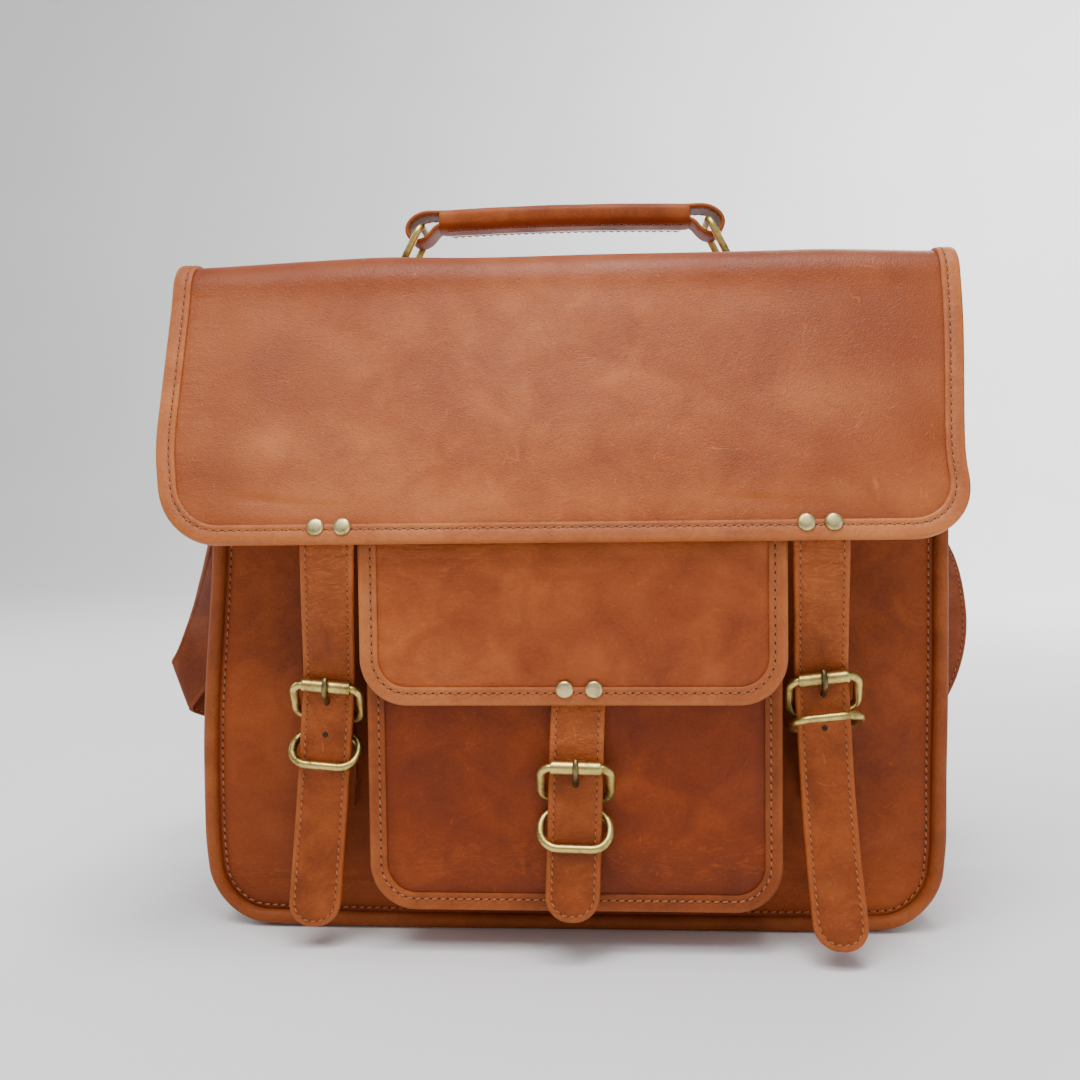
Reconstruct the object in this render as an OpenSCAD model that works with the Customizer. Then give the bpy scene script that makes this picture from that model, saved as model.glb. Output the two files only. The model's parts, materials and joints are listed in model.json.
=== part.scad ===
// Leather satchel with a drop flap, two strap-and-buckle fastenings, a front pocket with its own
// flap and strap, a ringed top handle and a clip-on shoulder strap.
// Frame: X to the wearer's right, Y to the back, Z up. Origin under the centre of the base.

/* [Body] */
// Width of the body
body_w = 360; // [340:1:380]
// Depth between the outer faces of the front and back panels
body_d = 110; // [100:1:120]
// Height of the front and back panels
body_h = 306; // [296:1:310]
// Radius of the lower corners
corner_r = 28; // [20:1:34]
// Thickness of the leather
leather_t = 2.4; // [1.8:0.1:2.6]
// Width of the rounded piping round the front and back panels
ridge_w = 10; // [8:0.5:12]

/* [Flap] */
// Width of the flap
flap_w = 370; // [364:1:384]
// Height of the flap's top surface
flap_z = 329; // [326:1:332]
// Slope of the front of the flap from upright
flap_slant = 20; // [18:0.5:22]
// Length of the sloping front of the flap
flap_l = 131.4; // [120:0.1:133]
// Radius of the flap's lower corners
flap_corner_r = 29; // [20:1:40]
// Width of the edge bindings
binding_w = 9; // [8:0.5:13]

/* [Front pocket] */
// Width of the pocket
pocket_w = 193; // [170:1:194]
// Width of the pocket's flap
pocket_flap_w = 195.6; // [180:0.1:196]
// Middle of the pocket, to the right of the bag's middle
pocket_x = 4.8; // [0:0.1:6]
// Distance that the pocket stands out from the front panel
pocket_d = 32; // [30:0.5:33]
// Lower edge of the pocket
pocket_z0 = 21; // [16:1:30]
// Top edge of the pocket
pocket_z1 = 178; // [166:1:180]

/* [Straps and buckles] */
// Width of the fastening straps
strap_w = 25; // [22:0.5:26]
// Diameter of the brass wire
wire_d = 3.8; // [3:0.1:4]
// Width of the buckle frames, between the middles of the wires
ring_w = 32; // [31:0.5:34]

/* [Handle] */
// Distance from the middle of the bag to the bar in each handle anchor
anchor_x = 87; // [80:1:95]
// Distance from the middle of the bag to the bar in each handle loop
loop_x = 75; // [70:1:80]
// Length of the wrapped grip
grip_l = 132; // [120:1:134]

/* [Shoulder strap] */
// Width of the shoulder strap
sling_w = 32; // [25:1:34]

/* [Hidden] */
$fn = 40;

half_w = body_w / 2;
front_y = -body_d / 2;
back_y = body_d / 2;
wire_r = wire_d / 2;
run_gap = 0.06;               // radial clearance of a wire in its leather or brass bore
edge_t = 1.6;                 // how far a binding stands proud of its panel
ridge_t = 3;                  // how far the rounded panel piping stands proud
gusset_h = body_h + 4;

// Side profile of the flap
flap_y = 44;                  // half length of the flat top of the flap
back_bend_r = 13.4;           // outer radius of the bend at the back
front_bend_r = 16;            // outer radius of the bend at the front
slope_y = -flap_y - front_bend_r * cos(flap_slant);
slope_z = flap_z - front_bend_r + front_bend_r * sin(flap_slant);

// Side profile of the pocket's flap
pocket_front = front_y - pocket_d;
pocket_flap_y = pocket_front - 6.4;     // inner face of the hanging part of the pocket's flap
pocket_flap_z0 = 119.5;
pocket_hinge_z = 187;

// Buckle geometry, measured from the strap's middle plane at the roller's height
roller_r = 3.2;
strap_t = 3.2;
loop_r = wire_r + 2.2;                            // outside of a leather loop round a wire
roller_off = roller_r + strap_t / 2 + 0.4;        // roller axis, in front of the strap
pivot_off = loop_r + strap_t / 2 + 0.4;           // pivot bar axis, behind the strap
frame_h = 20;
pivot_drop = sqrt(pow(frame_h, 2) - pow(roller_off + pivot_off, 2));
frame_lean = asin((roller_off + pivot_off) / frame_h);
prong_lean = frame_lean + asin((roller_r + 1.35) / frame_h);
prong_l = 24;
keeper_h = 18;

// Each fastening: [strap x, strap y, roller z, lean of the strap, tilt of the buckle]
LEFT = [-111.5, -80, 126.5, 4.3, 5];
RIGHT = [120, -80, 130, -2.8, -6];
POCKET = [6.5, pocket_front - loop_r - 0.1 - pivot_off, 92.3, 2, 1.5];

// Keeper bar in the chape: [y from the pivot, z from the pivot, angle of the ring below level]
KEEPER_LEFT = [2.4, -8.8, 45.2];
KEEPER_RIGHT = [2.4, -8.8, -25.7];
KEEPER_POCKET = [0.3, -6.2, 54.3];

// Middle lines of the straps: [y, z from the roller]
PATH_LEFT = [[-99.5, 65.2], [-90, 35.5], [-80.8, 6], [-80, 0], [-80, -41], [-81.5, -75],
    [-85, -115.5]];
PATH_RIGHT = [[-99.5, 62], [-90, 33.5], [-80.8, 6], [-80, 0], [-80, -41], [-85, -75], [-93, -101],
    [-102, -121]];
PATH_POCKET = [[-91.7, 26.6], [-96.4, 6.5], [-97.2, 0], [-97.2, -40.3], [-101.5, -71.3]];

// Middle line of the shoulder strap and half of its width, both as [x, y, z]
SLING = [
    [[-188, 0, 208.5], [0, 16, 0]],
    [[-189, 6, 196], [3, 15, -4]],
    [[-197, 28, 174], [9, 12, -7]],
    [[-211, 54, 150], [12, 5, -10]],
    [[-226, 68, 125], [12, 0, -12]],
    [[-238, 71, 107], [8, 0, -19]],
    [[-245, 75, 99], [7, 0, -20]],
    [[-237, 80, 96], [3, 0, -18]],
    [[-205, 92, 86], [-3, 0, -16]],
    [[-150, 121, 68], [-4, 0, -15]],
    [[-90, 152, 50], [-4, 0, -15]],
    [[-30, 177, 34], [-3, 0, -16]],
    [[30, 188, 23], [-1, 0, -16]],
    [[90, 184, 19], [1, 0, -16]],
    [[145, 162, 25], [4, 0, -15]],
    [[188, 128, 49], [9, 2, -13]],
    [[212, 97, 87], [13, 2, -8]],
    [[219, 75, 126], [15, 2, -2]],
    [[213, 62, 164], [14, 6, 3]],
    [[200, 34, 192], [9, 13, 2]],
    [[190, 6, 202], [2, 16, 0]],
    [[188, 0, 208.5], [0, 16, 0]]];
sling_t = 3;
sling_steps = 4;              // sections between two points of the shoulder strap's route

// ---------- helpers ----------

// A drawing in X and Z made solid from y0 to y1
module slab(y0, y1) translate([0, y1, 0]) rotate([90, 0, 0]) linear_extrude(y1 - y0) children();

// A drawing in Y and Z made solid from x0 to x1
module prism(x0, x1) translate([x0, 0, 0]) rotate([90, 0, 90]) linear_extrude(x1 - x0) children();

// An upright outline with round lower corners
module pouch(w, z0, z1, r) {
    translate([-w / 2 + r, z0]) square([w - 2 * r, z1 - z0]);
    translate([-w / 2, z0 + r]) square([w, z1 - z0 - r]);
    for (s = [-1, 1]) translate([s * (w / 2 - r), z0 + r]) circle(r);
}

// The border of such an outline, open at the top
module pouch_border(w, z0, z1, r, t) difference() {
    pouch(w, z0, z1, r);
    pouch(w - 2 * t, z0 + t, z1 + 1, max(r - t, 2));
}

function unit(v) = v / norm(v);
function side_of(a, b) = let (d = unit(b - a)) [-d[1], d[0]];
function mitre(path, i) = i == 0 ? side_of(path[0], path[1])
    : i == len(path) - 1 ? side_of(path[i - 1], path[i])
    : let (a = side_of(path[i - 1], path[i]), b = side_of(path[i], path[i + 1]), m = unit(a + b))
        m / (m * a);

// A strip of even thickness along a line of points
function strip(path, t) = concat(
    [for (i = [0:len(path) - 1]) path[i] + mitre(path, i) * t / 2],
    [for (i = [len(path) - 1:-1:0]) path[i] - mitre(path, i) * t / 2]);

// An arc in Y and Z between two angles, from +Y towards +Z
function arc(c, r, a0, a1, n = 8) = [for (i = [0:n]) let (a = a0 + (a1 - a0) * i / n)
    c + r * [cos(a), sin(a)]];

// A bent strip round a centre, as a pie-shaped cut of a ring
module bend(c, r, t, a0, a1) translate(c) difference() {
    intersection() {
        circle(r, $fn = 96);
        polygon(concat([[0, 0]], arc([0, 0], 2 * r, a0, a1)));
    }
    circle(r - t, $fn = 96);
}

// A rounded rectangle of wire in X and Z. Its lower bar lies on the X axis.
module wire_ring(w, h, corner = 4, r = wire_r) {
    for (z = [0, h]) translate([0, 0, z]) along_x(w - 2 * corner, r);
    for (s = [-1, 1]) translate([s * w / 2, 0, corner]) cylinder(h = h - 2 * corner, r = r);
    for (s = [-1, 1]) for (top = [0, 1])
        translate([s * (w / 2 - corner), 0, top ? h - corner : corner])
        rotate([90, s > 0 ? (top ? 0 : 90) : (top ? -90 : 180), 0])
        rotate_extrude(angle = 90) translate([corner, 0]) circle(r, $fn = 24);
}

module along_x(l, r) rotate([0, 90, 0]) cylinder(h = l, r = r, center = true);
module along_y(l, r) rotate([90, 0, 0]) cylinder(h = l, r = r, center = true);

// Onto the sloping front of the flap: Z runs up the slope, -Y points out of it
module on_slope() translate([0, slope_y, slope_z]) rotate([-flap_slant, 0, 0]) children();

// Onto a buckle: the origin is in the strap's middle plane, at the roller's height
module at_buckle(b) translate([b[0], b[1], b[2]]) rotate([0, b[4], 0]) children();

// Onto the pivot bar of a buckle
module at_pivot(b) at_buckle(b) translate([0, pivot_off, -pivot_drop]) children();

// ---------- body ----------

module body_ring() slab(front_y + leather_t, back_y - leather_t)
    pouch_border(body_w, 0, gusset_h, corner_r, leather_t);

seam_x = half_w - corner_r;   // where the base meets the side gussets

module base_panel() color([0.58, 0.30, 0.14])
    intersection() {
        body_ring();
        translate([-seam_x, -body_d, -1]) cube([2 * seam_x, 2 * body_d, gusset_h]);
    }

module gusset(side) color([0.60, 0.31, 0.14])
    intersection() {
        body_ring();
        translate([side > 0 ? seam_x : -seam_x - body_w, -body_d, -1])
            cube([body_w, 2 * body_d, 2 * gusset_h]);
    }

module gusset_left() gusset(-1);
module gusset_right() gusset(1);

module front_panel() color([0.62, 0.32, 0.14])
    slab(front_y, front_y + leather_t) pouch(body_w, 0, body_h, corner_r);

module back_panel() color([0.62, 0.32, 0.14])
    slab(back_y - leather_t, back_y) pouch(body_w, 0, body_h, corner_r);

module front_binding() color([0.66, 0.36, 0.17])
    slab(front_y - ridge_t, front_y) pouch_border(body_w, 0, body_h, corner_r, ridge_w);

module back_binding() color([0.66, 0.36, 0.17])
    slab(back_y, back_y + ridge_t) pouch_border(body_w, 0, body_h - 12, corner_r, ridge_w);

lining_t = 0.8;
lining_gap = leather_t + 0.2;

module lining() color([0.45, 0.38, 0.30]) difference() {
    slab(front_y + lining_gap, back_y - lining_gap)
        pouch(body_w - 2 * lining_gap, lining_gap, body_h - 4, corner_r - lining_gap);
    slab(front_y + lining_gap + lining_t, back_y - lining_gap - lining_t)
        pouch(body_w - 2 * (lining_gap + lining_t), lining_gap + lining_t, body_h + 1,
            corner_r - lining_gap - lining_t);
}

module divider() color([0.40, 0.33, 0.26])
    slab(22, 28) pouch(body_w - 12, 6, body_h - 28, corner_r - 6);

// ---------- front pocket ----------

pocket_r = 22;

module pocket_face() color([0.64, 0.33, 0.15])
    translate([pocket_x, 0, 0]) slab(pocket_front, pocket_front + leather_t)
    pouch(pocket_w, pocket_z0, pocket_z1, pocket_r);

module pocket_gusset() color([0.58, 0.30, 0.14])
    translate([pocket_x, 0, 0]) slab(pocket_front + leather_t, front_y)
    pouch_border(pocket_w, pocket_z0, pocket_z1, pocket_r, leather_t);

module pocket_binding() color([0.67, 0.37, 0.18])
    translate([pocket_x, 0, 0]) slab(pocket_front - 2.4, pocket_front)
    pouch_border(pocket_w, pocket_z0, pocket_z1, pocket_r, binding_w);

// The sewn-down part of the pocket's flap, from the front panel over the pocket's mouth
module pocket_flap_top() color([0.68, 0.35, 0.16])
    prism(pocket_x - pocket_flap_w / 2, pocket_x + pocket_flap_w / 2)
    polygon(strip([
        [front_y - leather_t / 2, 220], [front_y - leather_t / 2, 209],
        [front_y - 6, 205.5], [pocket_flap_y + 6, 199.5],
        [pocket_flap_y + 0.6, 197], [pocket_flap_y - leather_t / 2, 194.5],
        [pocket_flap_y - leather_t / 2, pocket_hinge_z + 4.5]], leather_t));

module pocket_flap_fold() color([0.68, 0.35, 0.16])
    translate([pocket_x - pocket_flap_w / 2, pocket_flap_y - leather_t, pocket_hinge_z - 1])
    cube([pocket_flap_w, leather_t, 5.5]);

module pocket_flap_panel() color([0.68, 0.35, 0.16])
    translate([pocket_x, 0, 0]) slab(pocket_flap_y - leather_t, pocket_flap_y) difference() {
        pouch(pocket_flap_w, pocket_flap_z0, pocket_hinge_z - 1, pocket_r);
        rivet_holes(POCKET_RIVETS - [pocket_x, pocket_x]);
    }

module pocket_flap_binding() color([0.70, 0.39, 0.19])
    translate([pocket_x, 0, 0]) slab(pocket_flap_y - leather_t - edge_t, pocket_flap_y - leather_t)
    difference() {
        pouch_border(pocket_flap_w, pocket_flap_z0, pocket_hinge_z - 1, pocket_r, binding_w);
        rivet_holes(POCKET_RIVETS - [pocket_x, pocket_x]);
    }

rivet_z = pocket_flap_z0 + 7.6;
POCKET_RIVETS = [1.6, 15];
rivet_post_r = 1.9;

module rivet_holes(xs, z = rivet_z)
    for (x = xs) translate([x, z]) circle(rivet_post_r + run_gap);

// A capped rivet along Y: the cap outside, the post, and a flat cap inside
module rivet(outer_y, inner_y) {
    translate([0, outer_y, 0]) rotate([90, 0, 0]) difference() {
        translate([0, 0, -5.35]) sphere(r = 7.05);
        translate([-10, -10, -20]) cube([20, 20, 20]);
    }
    translate([0, outer_y, 0]) rotate([-90, 0, 0]) cylinder(h = inner_y - outer_y, r = rivet_post_r);
    translate([0, inner_y, 0]) rotate([-90, 0, 0]) cylinder(h = 1, r = 4);
}

module pocket_rivets() color([0.76, 0.70, 0.50])
    for (x = POCKET_RIVETS) translate([x, 0, rivet_z])
    rivet(pocket_flap_y - leather_t - edge_t, pocket_flap_y + strap_t);

module pocket_strap_head() color([0.68, 0.36, 0.16])
    slab(pocket_flap_y, pocket_flap_y + strap_t) difference() {
        translate([8.3 - strap_w / 2, pocket_flap_z0 + 0.2]) square([strap_w, 17]);
        rivet_holes(POCKET_RIVETS);
    }

// ---------- flap ----------

module flap_back_fold() color([0.66, 0.34, 0.16])
    prism(-flap_w / 2 + 2, flap_w / 2 - 2) {
        bend([flap_y, flap_z - back_bend_r], back_bend_r, leather_t, 0, 90);
        translate([back_y, body_h - 12]) square([leather_t, flap_z - back_bend_r - body_h + 12]);
    }

module flap_top_panel() color([0.68, 0.35, 0.16])
    translate([-flap_w / 2 + 2, -flap_y, flap_z - leather_t]) cube([flap_w - 4, 2 * flap_y, leather_t]);

module flap_top_binding() color([0.70, 0.39, 0.19])
    for (s = [-1, 1]) {
        translate([s * (flap_w / 2 - binding_w / 2) - binding_w / 2, -flap_y, flap_z])
            cube([binding_w, 2 * flap_y, edge_t]);
        translate([s * (flap_w / 2 - 1) - 1, -flap_y, flap_z - leather_t]) cube([2, 2 * flap_y, leather_t]);
    }

module flap_front_fold() color([0.68, 0.35, 0.16])
    prism(-flap_w / 2, flap_w / 2)
    bend([-flap_y, flap_z - front_bend_r], front_bend_r, leather_t, 90, 180 - flap_slant);

module flap_front_panel() color([0.68, 0.35, 0.16])
    on_slope() slab(0, leather_t) difference() {
        pouch(flap_w - 4, -flap_l + 2, 0, flap_corner_r - 2);
        rivet_holes(FLAP_RIVETS, flap_rivet_z);
    }

module flap_front_binding() color([0.70, 0.39, 0.19])
    on_slope() {
        slab(-edge_t, 0) difference() {
            pouch_border(flap_w, -flap_l, 0, flap_corner_r, binding_w);
            rivet_holes(FLAP_RIVETS, flap_rivet_z);
        }
        slab(0, leather_t) pouch_border(flap_w, -flap_l, 0, flap_corner_r, 2);
    }

FLAP_RIVETS = [-110.7, -98.3, 109.6, 121.6];
STRAP_HEADS = [-106.2, 116.8];
flap_rivet_z = -flap_l + 7.4;

module flap_rivets() color([0.76, 0.70, 0.50])
    on_slope() for (x = FLAP_RIVETS) translate([x, 0, flap_rivet_z]) rivet(-edge_t, leather_t + strap_t);

module strap_heads() color([0.68, 0.36, 0.16])
    on_slope() slab(leather_t, leather_t + strap_t) difference() {
        for (x = STRAP_HEADS) translate([x - strap_w / 2, -flap_l + 0.3]) square([strap_w, 17]);
        rivet_holes(FLAP_RIVETS, flap_rivet_z);
    }

// ---------- straps and buckles ----------

// A strap along its middle line, with a round tip and holes for the prong
module strap(b, path, spare_hole = true, tip_r = 12.5) color([0.69, 0.37, 0.17])
    translate([b[0], 0, b[2]]) rotate([0, b[3], 0]) difference() {
        intersection() {
            prism(-strap_w / 2, strap_w / 2) polygon(strip(path, strap_t));
            slab(-140, -60) {
                translate([-strap_w / 2, path[len(path) - 1][1] + tip_r]) square([strap_w, 220]);
                translate([0, path[len(path) - 1][1] + tip_r]) circle(tip_r, $fn = 64);
            }
        }
        translate([0, b[1] + pivot_off, -pivot_drop]) rotate([prong_lean, 0, 0]) cylinder(h = 16, r = 2.2);
        if (spare_hole) translate([0, b[1] + 10, -23.5]) rotate([90, 0, 0]) cylinder(h = 20, r = 1.4);
    }

module strap_left() strap(LEFT, PATH_LEFT);
module strap_right() strap(RIGHT, PATH_RIGHT);
module pocket_strap() strap(POCKET, PATH_POCKET, false);

// The folded leather tab that holds a buckle and a keeper. The line runs from the pivot bar down.
module chape(b, k, path, w = 23.6) color([0.60, 0.31, 0.14])
    at_pivot(b) difference() {
        prism(-w / 2, w / 2) {
            circle(loop_r);
            translate([k[0], k[1]]) circle(wire_r + 1.9);
            polygon(strip(path, 4.2));
        }
        along_x(w + 2, wire_r + run_gap);
        translate([0, k[0], k[1]]) along_x(w + 2, wire_r + run_gap);
        along_x(4.6, 6.4);
    }

// From the pivot bar to the face of the front panel, and flat down it
SIDE_CHAPE = [[0.6, -1], [2.4, -8.8], [LEFT[1] * -1 - pivot_off + front_y - 2.1, -27],
    [LEFT[1] * -1 - pivot_off + front_y - 2.1, -47]];
POCKET_CHAPE = [[loop_r + 0.1 - 2.1, 0], [loop_r + 0.1 - 2.1, -28]];

module chape_left() chape(LEFT, KEEPER_LEFT, SIDE_CHAPE);
module chape_right() chape(RIGHT, KEEPER_RIGHT, SIDE_CHAPE);
module chape_pocket() chape(POCKET, KEEPER_POCKET, POCKET_CHAPE);

module buckle_frame(b) color([0.72, 0.64, 0.42])
    at_pivot(b) rotate([frame_lean, 0, 0]) wire_ring(ring_w, frame_h);

module roller(b) color([0.75, 0.68, 0.46])
    at_buckle(b) translate([0, -roller_off, 0]) difference() {
        along_x(23, roller_r);
        along_x(25, wire_r + run_gap);
    }

module prong(b) color([0.60, 0.54, 0.38])
    at_pivot(b) rotate([prong_lean, 0, 0]) difference() {
        union() {
            along_x(2.8, 3.5);
            cylinder(h = prong_l, r = 1.3);
        }
        along_x(4, wire_r + run_gap);
    }

module keeper(b, k) color([0.74, 0.67, 0.45])
    at_pivot(b) translate([0, k[0], k[1]]) rotate([90 + k[2], 0, 0]) wire_ring(ring_w, keeper_h);

module frame_left() buckle_frame(LEFT);
module frame_right() buckle_frame(RIGHT);
module frame_pocket() buckle_frame(POCKET);
module roller_left() roller(LEFT);
module roller_right() roller(RIGHT);
module roller_pocket() roller(POCKET);
module prong_left() prong(LEFT);
module prong_right() prong(RIGHT);
module prong_pocket() prong(POCKET);
module keeper_left() keeper(LEFT, KEEPER_LEFT);
module keeper_right() keeper(RIGHT, KEEPER_RIGHT);
module keeper_pocket() keeper(POCKET, KEEPER_POCKET);

// ---------- handle ----------

anchor_z = flap_z + 5;
anchor_l = 42;                // length of the sewn part of each handle anchor
loop_z = 357.5;
handle_ring_w = 28;
handle_w = 19.6;
ring_lean = atan2(anchor_x - loop_x, loop_z - anchor_z);
handle_ring_h = norm([anchor_x - loop_x, loop_z - anchor_z]);

// The left end loop of the handle's strap, then its two runs through the grip: [x, z]
HANDLE_LOOP = [[0, 365.1], [-66, 365.1], [-73, 365.4], [-78.5, 363.6], [-82.3, 360], [-83.2, 355.6],
    [-80.8, 351.6], [-76.4, 350.2], [-71.6, 352.6], [-67.4, 359.2], [0, 359.2]];

module handle_anchor(side) color([0.62, 0.32, 0.15]) difference() {
    union() {
        translate([side * anchor_x, 0, anchor_z]) along_y(handle_w, loop_r);
        translate([side > 0 ? anchor_x - 1 : 1 - anchor_x - anchor_l, -handle_w / 2, flap_z])
            cube([anchor_l, handle_w, 4.2]);
    }
    translate([side * anchor_x, 0, anchor_z]) along_y(handle_w + 2, wire_r + run_gap);
}

module handle_anchor_left() handle_anchor(-1);
module handle_anchor_right() handle_anchor(1);

module handle_ring(side) color([0.74, 0.67, 0.45])
    translate([side * anchor_x, 0, anchor_z]) rotate([0, -side * ring_lean, 0]) rotate([0, 0, 90])
    wire_ring(handle_ring_w, handle_ring_h);

module ring_left() handle_ring(-1);
module ring_right() handle_ring(1);

module handle_strap() color([0.60, 0.30, 0.13])
    for (s = [0, 1]) mirror([s, 0, 0]) slab(-handle_w / 2, handle_w / 2)
    polygon(strip(HANDLE_LOOP, 2.2));

grip_z0 = 356.4;
grip_h = 11.4;

module grip_section(w, h, r) {
    translate([-w / 2 + r, -h / 2]) square([w - 2 * r, h]);
    translate([-w / 2, -h / 2 + r]) square([w, h - 2 * r]);
    for (x = [-1, 1]) for (y = [-1, 1]) translate([x * (w / 2 - r), y * (h / 2 - r)]) circle(r);
}

module handle_grip() color([0.68, 0.35, 0.16])
    translate([0, 0, grip_z0 + grip_h / 2]) prism(-grip_l / 2, grip_l / 2) difference() {
        grip_section(23.4, grip_h, 5);
        grip_section(20.2, grip_h - 3, 0.4);
    }

// ---------- shoulder strap and its clips ----------

tab_x = half_w + 8;
tab_z = 268;
d_h = 18;
bow_r = 14;

// Folded tabs on the side gussets
module side_tabs() color([0.60, 0.31, 0.14])
    for (s = [-1, 1]) difference() {
        union() {
            translate([s * tab_x, 0, tab_z]) along_y(23.6, loop_r);
            slab(-11.8, 11.8) polygon(strip([[s * (tab_x - 0.8), tab_z + 1],
                [s * (half_w + 2.1), tab_z + 10], [s * (half_w + 2.1), tab_z + 38]], 4.2));
        }
        translate([s * tab_x, 0, tab_z]) along_y(30, wire_r + run_gap);
    }

module d_ring(side) color([0.74, 0.67, 0.45]) translate([side * tab_x, 0, tab_z]) {
    along_y(2 * bow_r, wire_r);
    for (s = [-1, 1]) {
        translate([0, s * bow_r, 0]) sphere(r = wire_r);
        translate([0, s * bow_r, -d_h + bow_r]) cylinder(h = d_h - bow_r, r = wire_r);
    }
    translate([0, 0, -d_h + bow_r]) rotate([0, 90, 0]) rotate([0, 0, -90])
        rotate_extrude(angle = 180) translate([bow_r, 0]) circle(wire_r, $fn = 24);
}

module d_ring_left() d_ring(-1);
module d_ring_right() d_ring(1);

claw_r = 5.8;
claw_z = tab_z - d_h - (claw_r - 2 * wire_r - 0.3);
shank_z = claw_z - claw_r - 14;

// A clip: a ring closed round the D-ring, a body below it and a swivel post
module hook(side) color([0.72, 0.64, 0.42]) translate([side * tab_x, 0, 0]) {
    translate([0, 0, claw_z]) rotate([90, 0, 0]) rotate_extrude()
        translate([claw_r, 0]) circle(wire_r, $fn = 24);
    translate([0, 0, shank_z]) cylinder(h = 14, r = 3.6);
    translate([0, 0, shank_z - 6.4]) cylinder(h = 7, r = wire_r);
    translate([0, 0, shank_z - 8.6]) cylinder(h = 2.4, r = 3.4);
}

module hook_left() hook(-1);
module hook_right() hook(1);

eye_w = 37;
eye_h = 14;

// The swivelling eye that holds the shoulder strap
module eye(side) color([0.74, 0.67, 0.45]) translate([side * tab_x, 0, shank_z - 3.2]) difference() {
    union() {
        translate([0, 0, -eye_h]) rotate([0, 0, 90]) wire_ring(eye_w, eye_h);
        translate([0, 0, -2.8]) cylinder(h = 5.6, r = 4.2);
    }
    translate([0, 0, -6]) cylinder(h = 12, r = wire_r + run_gap);
    translate([0, 0, -7]) cylinder(h = 4.1, r = 4.4);
}

module eye_left() eye(-1);
module eye_right() eye(1);

// Smooth values between the points of the shoulder strap's route
function smooth(a, b, c, d, t) = 0.5 * (2 * b + (c - a) * t + (2 * a - 5 * b + 4 * c - d) * t * t
    + (3 * b - a - 3 * c + d) * t * t * t);
sling_last = len(SLING) - 1;
function sling_at(k, i, t) = smooth(SLING[max(i - 1, 0)][k], SLING[i][k],
    SLING[min(i + 1, sling_last)][k], SLING[min(i + 2, sling_last)][k], t);
function sling_line(k) = concat(
    [for (i = [0:sling_last - 1]) for (j = [0:sling_steps - 1]) sling_at(k, i, j / sling_steps)],
    [SLING[sling_last][k]]);
SLING_MID = sling_line(0);
SLING_SIDE = sling_line(1);
sling_n = len(SLING_MID);
function sling_dir(i) = unit(SLING_MID[min(i + 1, sling_n - 1)] - SLING_MID[max(i - 1, 0)]);
function sling_face(i) = unit(cross(sling_dir(i), SLING_SIDE[i])) * sling_t / 2;

module shoulder_strap() color([0.60, 0.31, 0.14])
    polyhedron(
        points = [for (i = [0:sling_n - 1]) for (c = [[1, 1], [-1, 1], [-1, -1], [1, -1]])
            SLING_MID[i] + SLING_SIDE[i] * c[0] + sling_face(i) * c[1]],
        faces = concat(
            [[0, 1, 2, 3]],
            [for (i = [0:sling_n - 2]) for (j = [0:3]) let (k = (j + 1) % 4)
                [4 * i + j, 4 * i + 4 + j, 4 * i + 4 + k]],
            [for (i = [0:sling_n - 2]) for (j = [0:3]) let (k = (j + 1) % 4)
                [4 * i + j, 4 * i + 4 + k, 4 * i + k]],
            [[4 * sling_n - 1, 4 * sling_n - 2, 4 * sling_n - 3, 4 * sling_n - 4]]));

base_panel();
gusset_left();
gusset_right();
front_panel();
back_panel();
front_binding();
back_binding();
lining();
divider();
pocket_face();
pocket_gusset();
pocket_binding();
pocket_flap_top();
chape_left();
chape_right();
chape_pocket();
side_tabs();
flap_back_fold();
flap_top_panel();
flap_top_binding();
flap_front_fold();
flap_front_panel();
flap_front_binding();
flap_rivets();
strap_heads();
handle_anchor_left();
handle_anchor_right();
strap_left();
strap_right();
pocket_flap_fold();
pocket_flap_panel();
pocket_flap_binding();
pocket_rivets();
pocket_strap_head();
pocket_strap();
frame_left();
frame_right();
frame_pocket();
roller_left();
roller_right();
roller_pocket();
prong_left();
prong_right();
prong_pocket();
keeper_left();
keeper_right();
keeper_pocket();
ring_left();
ring_right();
handle_strap();
handle_grip();
d_ring_left();
d_ring_right();
hook_left();
hook_right();
eye_left();
eye_right();
shoulder_strap();
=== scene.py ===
import json
import math

import bmesh
import bpy
import numpy as np
from mathutils import Matrix, Vector


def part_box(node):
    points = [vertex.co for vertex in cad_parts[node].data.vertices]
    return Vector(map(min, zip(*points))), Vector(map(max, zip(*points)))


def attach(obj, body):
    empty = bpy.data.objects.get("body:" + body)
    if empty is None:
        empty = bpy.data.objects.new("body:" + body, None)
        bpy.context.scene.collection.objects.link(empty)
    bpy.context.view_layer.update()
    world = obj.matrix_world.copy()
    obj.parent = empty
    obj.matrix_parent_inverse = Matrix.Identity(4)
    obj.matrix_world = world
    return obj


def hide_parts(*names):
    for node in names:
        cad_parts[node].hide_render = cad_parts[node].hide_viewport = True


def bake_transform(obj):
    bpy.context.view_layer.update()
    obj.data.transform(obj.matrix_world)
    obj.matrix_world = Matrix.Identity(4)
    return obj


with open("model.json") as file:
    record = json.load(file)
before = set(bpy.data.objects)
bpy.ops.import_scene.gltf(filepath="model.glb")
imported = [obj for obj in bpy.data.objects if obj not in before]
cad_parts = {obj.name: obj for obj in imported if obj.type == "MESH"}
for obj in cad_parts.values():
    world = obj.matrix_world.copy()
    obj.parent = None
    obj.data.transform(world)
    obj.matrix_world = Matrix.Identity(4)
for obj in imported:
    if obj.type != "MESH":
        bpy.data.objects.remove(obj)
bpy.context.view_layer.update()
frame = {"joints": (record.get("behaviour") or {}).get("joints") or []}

# The bag is worked out in millimetres, and MM turns them into metres when a mesh is made.
# The camera, the lights, the floor and the materials are in metres.
MM = 0.001
JOINTS = {joint["name"]: joint for joint in frame["joints"]}


def box(node):
    """The lowest and highest corner of a CAD node, in millimetres."""
    low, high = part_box(node)
    return np.array(low) / MM, np.array(high) / MM


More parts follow.
